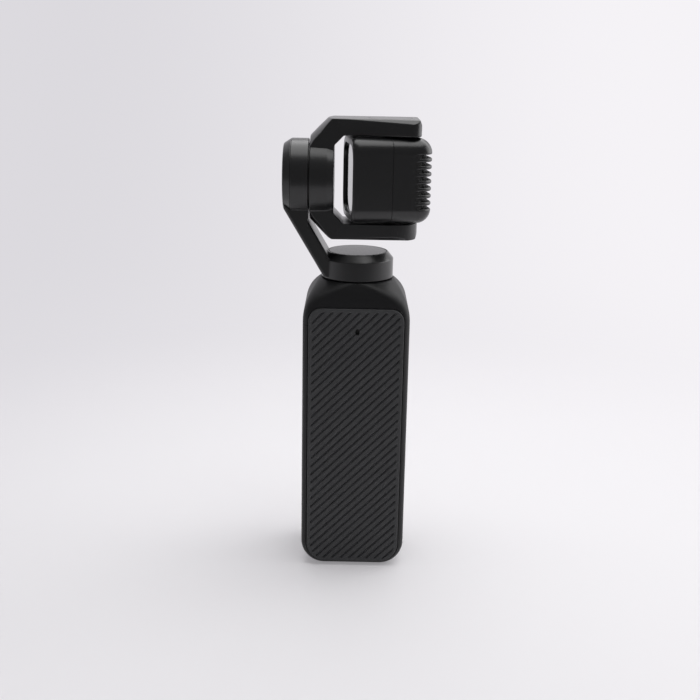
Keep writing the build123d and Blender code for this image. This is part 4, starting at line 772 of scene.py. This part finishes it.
@dataclass
class ThumbStick:
    """Cap of the thumb stick: a dished round top with a knurled rim, over the socket of its stem."""

    rim_round: float = 0.75
    dish: float = 0.4
    teeth: int = 40
    tooth: float = 0.12
    ring_radius: float = 2.6
    ring_depth: float = 0.12
    ring_width: float = 0.2
    socket: Span = (0.95, 2.2)
    socket_roof: float = 0.5
    chamfer: Span = (0.2, 0.15)
    cap_thickness: float = 1.5
    steps: int = 400

    def profile(self, radius: float, height: float) -> np.ndarray:
        """Outline of the cap, from inside the socket, round the rim, to the middle.

        The dish sinks by dish (1 - (r / lip)^2) inside its lip, with a shallow groove at the ring.

        Args:
            radius: the cap's radius.
            height: its height.

        Returns:
            Radius, height and share of the knurl of each point.
        """
        bore, wall = self.socket
        inward, upward = self.chamfer
        under = height - self.cap_thickness
        start = [(bore, under + self.socket_roof, 0.0), (bore, 0.0, 0.0), (wall, 0.0, 0.0)]
        start += [(wall, under, 0.0), (radius - inward, under, 0.0), (radius, under + upward, 1.0)]
        turn = np.linspace(0.0, math.pi / 2, 8)
        lip = radius - self.rim_round
        across = lip + self.rim_round * np.cos(turn)
        rise = height - self.rim_round + self.rim_round * np.sin(turn)
        rim = np.stack([across, rise, np.cos(turn)], axis=-1)
        flat = np.linspace(lip - 0.1, POLE, 40)
        away = np.abs(flat - self.ring_radius)
        groove = self.ring_depth * (1 - smoothstep(away, self.ring_width / 4, self.ring_width))
        sunk = height - self.dish * (1 - (flat / lip) ** 2) - groove
        return np.concatenate([start, rim, np.stack([flat, sunk, 0 * flat], axis=-1)])

    def build(self) -> bpy.types.Object:
        """Make the cap: the knurl takes tooth (1 - cos(teeth t)) / 2 off the rim's radius at angle t.

        Returns:
            The piece.
        """
        low, high = box_mm("joystick_cap")
        centre = middle_mm("joystick_cap")
        radius, height, knurl = self.profile((high[0] - low[0]) / 2, high[1] - low[1]).T[:, :, None]
        turn = np.linspace(0.0, 2 * math.pi, self.steps, endpoint=False)
        reach = radius - knurl * self.tooth * (1 - np.cos(self.teeth * turn)) / 2
        points = np.stack([
            centre[0] + reach * np.cos(turn), low[1] + height + 0 * reach, centre[2] + reach * np.sin(turn),
        ], axis=-1)
        return dress(skin("thumb_stick_cap", points), "button_black", "joystick_cap", "joystick_cap")


@dataclass
class RecordButton:
    """Record button: a flanged round button with a shallow dish in its face."""

    flange: float = 0.8
    flange_edge: float = 0.1
    edge: float = 0.4
    dish: float = 0.18
    dish_inset: float = 0.9
    dish_slope: float = 0.5
    dish_edge: float = 0.3

    def build(self) -> bpy.types.Object:
        """Make the button from the box of its CAD node: flange, side, rounded edge and dish.

        Returns:
            The piece.
        """
        low, high = box_mm("record_button")
        centre = middle_mm("record_button")
        wide, rise = (high[0] - low[0]) / 2, high[1] - low[1]
        radius = wide - self.flange
        lip, floor = radius - self.dish_inset, rise - self.dish
        corners = [(POLE, 0.0, 0.0), (wide, 0.0, self.flange_edge), (wide, self.flange, self.flange_edge)]
        corners += [(radius, self.flange, 0.0), (radius, rise, self.edge), (lip, rise, self.dish_edge)]
        corners += [(lip - self.dish_slope, floor, self.dish_edge), (POLE, floor, 0.0)]
        piece = turned("record_button_cap", rounded_profile(corners), (centre[0], low[1], centre[2]))
        return dress(piece, "record_red", "record_button", "record_button")


@dataclass
class Controls:
    """Thumb stick and record button under the screen."""

    stick: ThumbStick = field(default_factory=ThumbStick)
    record: RecordButton = field(default_factory=RecordButton)

    def build(self) -> None:
        """Make the stick's cap and the record button."""
        self.stick.build()
        self.record.build()


@dataclass
class Screen:
    """Turning screen on the rear."""

    edge: float = 0.25
    glass_edge: float = 0.12
    border: float = 1.3

    def build(self) -> None:
        """Make the screen's tray and glass."""
        softened("screen_frame", "screen", "shell_black", self.edge)
        softened("screen_glass", "screen", "screen_glass", self.glass_edge)


@dataclass
class PanArm:
    """Arm over the neck: disc, strut and roll drum, with the disc's cap and the drum's cover."""

    edge: float = 0.3
    fine_edge: float = 0.15

    def build(self) -> None:
        """Make the arm's pieces."""
        softened("pan_arm", "pan_arm", "arm_black", self.fine_edge)
        softened("pan_cap", "pan_arm", "cap_satin", self.fine_edge)
        softened("roll_cover", "pan_arm", "arm_black", self.edge)


@dataclass
class Yoke:
    """Yoke with its motor covers, whose form is adjusted to the photograph by about a millimetre."""

    edge: float = 0.3
    cover_edge: float = 0.12
    corner_out: float = 0.95
    corner_rise: Span = (11.6, 16.5)
    corner_end: Span = (-8.4, 0.0)
    foot_rise: Span = (8.0, 11.5)
    foot_end: Span = (-14.6, -9.0)
    lower_arm_out: float = 1.15
    lower_arm_rise: Span = (11.0, 12.8)
    lower_arm_start: Span = (9.0, 16.6)

    def shift(self, places: np.ndarray) -> np.ndarray:
        """Move the outer diagonals outwards and the lower arm's end further from the drum.

        The corner beside the drum moves to the side, the diagonal's foot moves away from the roll axis
        by the same, and the lower arm is drawn out towards its end. Each move fades in and out by a
        smoothstep over its span of x and of the distance from the roll axis.

        Args:
            places: array of places in millimetres.

        Returns:
            How far each of them moves.
        """
        x, z = places[:, 0], places[:, 2] - middle_mm("yoke_frame")[2]
        away = np.abs(z)
        corner = smoothstep(away, *self.corner_rise) * (1 - smoothstep(x, *self.corner_end))
        foot = smoothstep(away, *self.foot_rise) * (1 - smoothstep(x, *self.foot_end))
        arm = smoothstep(-z, *self.lower_arm_rise) * smoothstep(x, *self.lower_arm_start)
        moved = np.zeros_like(places)
        moved[:, 0] = self.lower_arm_out * arm - self.corner_out * corner
        moved[:, 2] = np.sign(z) * self.corner_out * foot
        return moved

    def build(self) -> None:
        """Make the yoke's pieces."""
        softened("yoke_frame", "yoke", "arm_black", self.edge, self.shift)
        softened("tilt_motor_cover", "yoke", "arm_black", self.cover_edge)
        softened("lower_arm_cover", "yoke", "arm_black", self.cover_edge, self.shift)


@dataclass
class HeadPlace:
    """Where the head's pieces stand: x runs to its back from the tilt axis, y to its side and z up."""

    turn_degrees: float = 8.2

    def points(self, x: np.ndarray, y: np.ndarray, z: np.ndarray) -> np.ndarray:
        """Places in the frame of points given in the head's own directions.

        Args:
            x: places towards the back.
            y: places towards the side.
            z: heights over the head's middle.

        Returns:
            An array of the same shape with three coordinates a point.
        """
        turn = math.radians(self.turn_degrees)
        axis = middle_mm("tilt_shaft")
        across = axis[0] + x * math.cos(turn) - y * math.sin(turn)
        along = axis[1] + x * math.sin(turn) + y * math.cos(turn)
        return np.stack([across, along, middle_mm("head_rear_shell")[2] + z + 0 * x], axis=-1)


def rounded_ring(half_width: float, half_height: float, radius: float, steps: int = 14) -> np.ndarray:
    """Points round a rectangle with rounded corners, a quarter circle a corner.

    Args:
        half_width: half of its width.
        half_height: half of its height.
        radius: radius of its corners.
        steps: points on each corner.

    Returns:
        Side and height of each point.
    """
    ring = []
    for quarter, (side, up) in enumerate(((1, 1), (-1, 1), (-1, -1), (1, -1))):
        turn = np.linspace(0.0, math.pi / 2, steps) + quarter * math.pi / 2
        centre = np.array([side * (half_width - radius), up * (half_height - radius)])
        ring.append(centre + radius * np.stack([np.cos(turn), np.sin(turn)], axis=-1))
    return np.concatenate(ring)


@dataclass
class HeadShell:
    """What the head's two shells share: their place, their rounded outline and the seam between them."""

    place: HeadPlace = field(default_factory=HeadPlace)
    seam: float = -0.65
    seam_groove: float = 0.1
    half_width: float = 11.2
    half_height: float = 12.6
    corner: float = 4.6


@dataclass
class FrontShell(HeadShell):
    """Front shell of the head, with the recessed window that the lens looks through.

    The shell is a chain of rings: from the seam round the front edges to the rim, down the rim's inner
    wall to the ledge, along it to the round lens opening and through that back to the seam.
    """

    front: float = 13.1
    front_round: float = 2.3
    rim: float = 0.85
    rim_ends: float = 1.4
    recess: float = 1.38
    lip: float = 0.14
    lip_inset: float = 0.042
    window_thickness: float = 0.7
    window_gap: float = 0.05
    window_edge: float = 0.08
    window_seat: float = 0.02
    lens_opening: float = 6.6
    # Tones of the lens painted on the window by share of the opening: a dark middle as painted shade, a
    # bluish and greenish painted reflection of the coating, and narrow lighter rings.
    painted_lens_tones: Tuple[Tuple[float, Colour], ...] = (
        (0.0, (0.001, 0.001, 0.001)), (0.20, (0.001, 0.001, 0.002)), (0.24, (0.012, 0.016, 0.034)),
        (0.46, (0.008, 0.020, 0.024)), (0.50, (0.002, 0.002, 0.002)), (0.55, (0.045, 0.045, 0.048)),
        (0.60, (0.003, 0.003, 0.003)), (0.84, (0.003, 0.003, 0.003)), (0.88, (0.030, 0.030, 0.032)),
        (0.92, (0.006, 0.006, 0.006)), (1.0, (0.006, 0.006, 0.006)),
    )

    def outline(self, inset: float) -> np.ndarray:
        """Points of a ring set in from the outline, more at the upper and lower end inside the lip.

        Args:
            inset: how far it is set in.

        Returns:
            Side and height of each point.
        """
        ends = self.rim_ends if inset > self.rim - self.lip + 1e-6 else 0.0
        half_height = self.half_height - inset - ends
        return rounded_ring(self.half_width - inset, half_height, self.corner - inset + ends)

    def rings(self) -> List[Tuple[float, float, float]]:
        """Inset and distance from the tilt axis of each ring, and its radius where it is round.

        At the angle a of the front round of radius r the ring is set in by r (1 - cos a) and stands
        r (1 - sin a) behind the front.

        Returns:
            The rings in order.
        """
        groove = self.seam_groove
        rings = [(groove, -self.seam, 0.0), (0.0, groove - self.seam, 0.0)]
        rings.append((0.0, self.front - self.front_round, 0.0))
        last = math.acos(1 - (self.rim - self.lip) / self.front_round)
        for turn in np.linspace(0.0, last, 10)[1:]:
            inset = self.front_round * (1 - math.cos(turn))
            rings.append((inset, self.front - self.front_round * (1 - math.sin(turn)), 0.0))
        edge = rings[-1][1] + self.lip_inset
        rings += [(self.rim - self.lip_inset, edge, 0.0), (self.rim, edge - self.lip, 0.0)]
        ledge = self.front - self.recess - self.window_thickness - self.window_seat
        rings += [(self.rim, ledge, 0.0), (0.0, ledge, self.lens_opening)]
        return rings + [(groove, -self.seam, self.lens_opening)]

    def build(self) -> None:
        """Make the shell, as a closed chain of rings, and its window."""
        chain = []
        for inset, depth, hole in self.rings():
            flat = rounded_ring(hole, hole, hole) if hole else self.outline(inset)
            chain.append(self.place.points(np.full(len(flat), -depth), flat[:, 0], flat[:, 1]))
        count, around = len(chain), len(chain[0])
        faces = grid_faces(count + 1, around, round_trip=True) % (count * around)
        shell = closed("rounded_front_shell", np.array(chain), faces, 36.0)
        dress(shell, "arm_black", "camera_head", "head_front_shell")
        self.window()

    def window(self) -> None:
        """Flat glass against the ledge, a hair clear of the rim and with a fine edge round."""
        clear, edge = self.rim + self.window_gap, self.window_edge
        chain = []
        for inset, depth in ((clear, self.window_thickness), (clear, edge), (clear + edge, 0.0)):
            flat = self.outline(inset)
            back = np.full(len(flat), self.recess - self.front + depth)
            chain.append(self.place.points(back, flat[:, 0], flat[:, 1]))
        glass = skin("recessed_window", np.array(chain), 20.0)
        dress(glass, "window_glass", "camera_head", "window_glass")


@dataclass
class RearShell(HeadShell):
    """Finned rear shell of the head, as level loops of points round its back."""

    back: float = 11.55
    rear_round: float = 4.3
    fin_pitch: float = 2.13
    slot: float = 1.0
    slots: int = 8
    slot_depth: float = 2.2
    slot_start: float = 6.2
    slot_full: float = 9.6
    slot_fade: float = 2.0
    wall_edge: float = 0.15
    wall_share: float = 0.93
    tip_radius: float = 0.42
    tip_fade: float = 1.5
    end_margins: Span = (0.3, 0.4)

    def heights(self) -> Tuple[np.ndarray, np.ndarray, np.ndarray]:
        """Height of each loop, how far it sinks to round a fin's tip, and its share of the slots' depth.

        A tip of radius r sinks by r - sqrt(r^2 - q^2), with q the distance past the start of its round.

        Returns:
            The three, from the lowest loop to the highest.
        """
        z: List[float] = []
        sink: List[float] = []
        share: List[float] = []
        reach = np.sin(np.linspace(0.0, math.pi / 2, 6)) * self.tip_radius
        round_off = self.tip_radius - np.sqrt(self.tip_radius**2 - reach**2)
        for number in range(self.slots):
            middle = (number - (self.slots - 1) / 2) * self.fin_pitch
            low, high = middle - self.slot / 2, middle + self.slot / 2
            z += list(low - self.tip_radius + reach)
            z += [low, low + self.wall_edge, high - self.wall_edge, high]
            z += list(high + self.tip_radius - reach[::-1])
            sink += list(round_off) + [0.0] * 4 + list(round_off[::-1])
            share += [0.0] * 6 + [self.wall_share, 1.0, 1.0, self.wall_share] + [0.0] * 6
        near, far = self.end_margins
        rise = np.sin(np.linspace(0.0, math.pi / 2, 13))[1:] * self.corner + self.half_height - self.corner
        ends = np.concatenate([[z[-1] + near], rise[rise > z[-1] + far]])
        flat = np.zeros(len(ends))
        return (
            np.concatenate([-ends[::-1], z, ends]), np.concatenate([flat, sink, flat]),
            np.concatenate([flat, share, flat]),
        )

    def loops(self, z: np.ndarray, sink: np.ndarray, share: np.ndarray) -> Tuple[np.ndarray, np.ndarray]:
        """Places x and y of the points of each loop.

        At height z the corner's rounding leaves u = |z| - (half height - corner). A loop runs along the
        side at y = half width - corner + sqrt((corner - d)^2 - u^2), where d = r (1 - cos a) is what the
        rear round of radius r has taken at its angle a, and then straight across the back. The slots'
        depth, the fins' tips and the groove at the seam are taken off along the loop's normal.

        Args:
            z: height of each loop.
            sink: how far it sinks to round a fin's tip.
            share: its share of the slots' depth.

        Returns:
            Both as arrays of loops of points.
        """
        over = np.clip(np.abs(z) - (self.half_height - self.corner), 0.0, self.corner)[:, None]
        last = np.arccos(np.clip(1 - (self.corner - over) / self.rear_round, 0.0, 1.0))
        angle = last * np.linspace(0.0, 1.0, 15)
        taken = self.rear_round * (1 - np.cos(angle))
        bend_x = self.back - self.rear_round + self.rear_round * np.sin(angle)
        left = np.clip((self.corner - taken) ** 2 - over**2, 0.0, None)
        bend_y = self.half_width - self.corner + np.sqrt(left)
        groove = self.seam_groove
        length = self.back - self.rear_round - self.seam
        along = np.concatenate([[0.0, groove, 2 * groove], np.linspace(4 * groove, length, 23)[:-1]])
        side_x = self.seam + along + 0 * over
        side_y = bend_y[:, :1] + 0 * side_x
        across = np.linspace(1.0, 0.0, 9)[1:]
        rear_x = bend_x[:, -1:] + 0 * across
        rear_y = bend_y[:, -1:] * across
        x = np.concatenate([side_x, bend_x, rear_x], axis=1)
        y = np.concatenate([side_y, bend_y, rear_y], axis=1)
        x = np.concatenate([x, x[:, -2::-1]], axis=1)
        y = np.concatenate([y, -y[:, -2::-1]], axis=1)
        step_x, step_y = np.gradient(x, axis=1), np.gradient(y, axis=1)
        length = np.hypot(step_x, step_y) + 1e-9
        depth = share[:, None] * self.slot_depth * smoothstep(x, self.slot_start, self.slot_full)
        depth = depth + sink[:, None] * smoothstep(x, self.slot_start, self.slot_start + self.tip_fade)
        depth = depth + np.clip(self.seam + groove - x, 0.0, None)
        return x + step_y / length * depth, y - step_x / length * depth

    def build(self) -> bpy.types.Object:
        """Make the shell: its loops, the two level ends and the flat face at the seam.

        Returns:
            The piece.
        """
        z, sink, share = self.heights()
        x, y = self.loops(z, sink, share)
        points = self.place.points(x, y, z[:, None])
        rows, columns = x.shape
        number = np.arange(rows * columns).reshape(rows, columns)
        half = columns // 2
        faces = [*grid_faces(rows, columns)]
        for row in (0, rows - 1):
            faces += [
                [number[row, i], number[row, i + 1], number[row, -2 - i], number[row, -1 - i]]
                for i in range(half - 1)
            ]
            faces.append([number[row, half - 1], number[row, half], number[row, half + 1]])
        faces.append(np.concatenate([number[:, 0], number[::-1, -1]]))
        piece = closed("finned_rear_shell", points, faces, 34.0)
        dress(piece, "arm_black", "camera_head", "head_rear_shell")
        piece.data.materials[0] = FINISHES["fin_black"].material()
        return piece


@dataclass
class CameraHead:
    """Camera head: front shell with its window, finned rear shell and lens barrel."""

    front: FrontShell = field(default_factory=FrontShell)
    rear: RearShell = field(default_factory=RearShell)
    barrel_edge: float = 0.12

    def build(self) -> None:
        """Make the head's pieces."""
        self.front.build()
        self.rear.build()
        softened("lens_barrel", "camera_head", "button_black", self.barrel_edge)


def dress_frame_nodes() -> None:
    """Give each CAD node that stays in the model its slot's finish, or black as painted shade where it sits
    in the gap under the stick.
    """
    for part in frame["record"]["subparts"]:
        node = frame["nodes"][part["node"]]
        if node.hide_render or not node.material_slots:
            continue
        # Nodes in the gap under the stick are finished black as painted shade.
        finish = "button_black" if part["node"] in PAINTED_SHADE_NODES else part["material_slot"]
        for place in node.material_slots:
            place.link = "OBJECT"
            place.material = FINISHES[finish].material()
        log.info("%s dressed as %s", part["node"], finish)


def stand(holder: bpy.types.Object, place: Sequence[float], axes: Sequence[np.ndarray]) -> None:
    """Put a lamp or camera into the scene.

    Args:
        holder: its object.
        place: where it stands, in millimetres.
        axes: directions of its own X, Y and Z; it looks along -Z.
    """
    bpy.context.scene.collection.objects.link(holder)
    turn = Matrix(np.stack(axes, axis=1).tolist()).to_4x4()
    turn.translation = [value * MM for value in place]
    holder.matrix_world = turn


@dataclass(frozen=True)
class Lamp:
    """Square soft lamp: its place, what it shines on and its side in millimetres, its power in watts."""

    name: str
    place: Tuple[float, float, float]
    aim: Tuple[float, float, float]
    size: float
    power: float

    def build(self) -> None:
        """Make the lamp and turn it to what it shines on."""
        light = bpy.data.lights.new(self.name, "AREA")
        light.shape, light.size, light.energy = "SQUARE", self.size * MM, self.power
        back = np.array(self.place, dtype=float) - np.array(self.aim, dtype=float)
        back = back / np.linalg.norm(back)
        right = np.cross((0.0, 0.0, 1.0), back)
        right = right / np.linalg.norm(right)
        stand(bpy.data.objects.new(self.name, light), self.place, (right, np.cross(back, right), back))


@dataclass
class Studio:
    """Pale sweep, soft lamps, world and the photograph's camera."""

    focal_px: float = 1069.58
    image_px: float = 700.0
    sensor_mm: float = 36.0
    camera_mm: Tuple[float, float, float] = (-1.74, -325.2, 159.55)
    pitch_degrees: float = 15.77
    roll_degrees: float = 1.07
    sweep_radius: float = 250.0
    sweep_start: float = 420.0
    sweep_reach: float = 300.0
    sweep_top: float = 1500.0
    sweep_half_width: float = 9000.0
    world_level: float = 0.22
    world_tint: Tuple[float, ...] = (1.0, 0.985, 1.01, 1.0)
    world_tone_reach: float = 0.4
    paper: Colour = (0.82, 0.81, 0.825)
    # Backdrop tones, painted darker at the left and lighter at the right as painted light falloff.
    shaded_left_tone: Colour = (0.715, 0.70, 0.735)
    lit_right_tone: Colour = (0.915, 0.895, 0.925)
    tone_half_width: float = 270.0
    shadow_span: Span = (40.0, 300.0)
    near_share: float = 0.30
    lamps: Tuple[Lamp, ...] = (
        Lamp("overhead_softbox", (100, 180, 800), (0, 0, 60), 1000, 7.6),
        Lamp("right_softbox", (900, 250, 350), (0, 0, 80), 900, 4.0),
    )

    def sweep(self) -> None:
        """Floor that bends up into a backdrop: straight, a quarter circle, straight, carried along X."""
        radius, start = self.sweep_radius, self.sweep_start
        turn = np.linspace(0.0, math.pi / 2, 24)
        y = np.concatenate([[-self.sweep_reach], start + radius * np.sin(turn), [start + radius]])
        z = np.concatenate([[0.0], radius * (1 - np.cos(turn)), [self.sweep_top]])
        x = np.array([-self.sweep_half_width, self.sweep_half_width])[:, None]
        points = np.stack([x + 0 * y, y + 0 * x, z + 0 * x], axis=-1)
        piece = mesh_object("studio_sweep", points, grid_faces(2, len(y)))
        smooth(piece, 60.0)
        piece.data.materials.append(self.paper_material())

    def paper_material(self) -> bpy.types.Material:
        """Paper that takes the object's shadow near it and, further away, shows a pale tone that is painted
        darker at the left and lighter at the right as painted light falloff.

        Camera, glossy and transmission rays see the tone, by a share that rises with the distance from
        the object; every other ray sees plain paper.

        Returns:
            The material.
        """
        shading = Shading(bpy.data.materials.new("studio_paper"))
        paper = shading.wire("ShaderNodeBsdfPrincipled", {}, {
            "Base Color": (*self.paper, 1), "Roughness": 0.9, "Specular IOR Level": 0.1,
        })
        half = self.tone_half_width * MM
        # Painted light falloff: the tone runs from darker at the left to lighter at the right.
        across = shading.map(shading.axis("X"), -half, half, 0.0, 1.0)
        tone = shading.mix(across, (*self.shaded_left_tone, 1), (*self.lit_right_tone, 1))
        graded_tone = shading.wire("ShaderNodeEmission", {}, {"Color": tone, "Strength": 1.0})
        rays = shading.node("ShaderNodeLightPath", {}, {})
        seen = Wire(shading, rays.outputs["Is Camera Ray"]) + Wire(shading, rays.outputs["Is Glossy Ray"])
        seen = seen + Wire(shading, rays.outputs["Is Transmission Ray"])
        far = shading.wire("ShaderNodeVectorMath", {"operation": "LENGTH"}, {0: shading.place()}, "Value")
        near, clear = self.shadow_span
        share = seen * shading.map(far, near * MM, clear * MM, self.near_share, 1.0)
        return shading.output(shading.wire("ShaderNodeMixShader", {}, {0: share, 1: paper, 2: graded_tone}))

    def world(self) -> None:
        """Dim light, the same from all round, in which the camera sees the sweep's tones beyond its edges,
        painted darker at the left and lighter at the right.
        """
        shading = Shading(bpy.data.worlds.new("studio_light"))
        reach = self.world_tone_reach
        # Painted light falloff: camera rays see the tone darker at the left and lighter at the right.
        tone = shading.wire("ShaderNodeMapRange", {}, {
            "Value": shading.axis("X"), "From Min": -reach, "From Max": reach,
            "To Min": self.shaded_left_tone[0], "To Max": self.lit_right_tone[0],
        })
        seen = shading.wire("ShaderNodeLightPath", {}, {}, "Is Camera Ray")
        inputs = {"Value": seen, "To Min": self.world_level, "To Max": tone}
        level = shading.wire("ShaderNodeMapRange", {}, inputs)
        light = shading.wire("ShaderNodeBackground", {}, {"Color": self.world_tint, "Strength": level})
        shading.node("ShaderNodeOutputWorld", {}, {"Surface": light})
        bpy.context.scene.world = shading.owner

    def camera(self) -> None:
        """Camera of the photograph: pitched down and rolled a little."""
        pitch, roll = math.radians(self.pitch_degrees), math.radians(self.roll_degrees)
        forward = np.array([0.0, math.cos(pitch), -math.sin(pitch)])
        upright = np.array([0.0, math.sin(pitch), math.cos(pitch)])
        across = np.array([1.0, 0.0, 0.0])
        right = math.cos(roll) * across + math.sin(roll) * upright
        up = -math.sin(roll) * across + math.cos(roll) * upright
        data = bpy.data.cameras.new("photograph_camera")
        data.sensor_width = self.sensor_mm
        data.lens = self.focal_px / self.image_px * self.sensor_mm
        data.clip_start, data.clip_end = 0.01, 20.0
        camera = bpy.data.objects.new("photograph_camera", data)
        stand(camera, self.camera_mm, (right, up, -forward))
        bpy.context.scene.camera = camera

    def build(self) -> None:
        """Set up the studio."""
        bpy.context.scene.view_settings.view_transform = "Standard"
        self.sweep()
        self.world()
        for lamp in self.lamps:
            lamp.build()
        self.camera()


def main() -> None:
    """Build the camera's sub-assemblies, dress the frame's own nodes and set up the studio."""
    logging.basicConfig(level=logging.INFO, format="%(name)s: %(message)s")
    for part in (Handle(), Controls(), Screen(), PanArm(), Yoke(), CameraHead()):
        log.info("building %s", type(part).__name__)
        part.build()
    dress_frame_nodes()
    Studio().build()


if __name__ == "__main__":
    main()
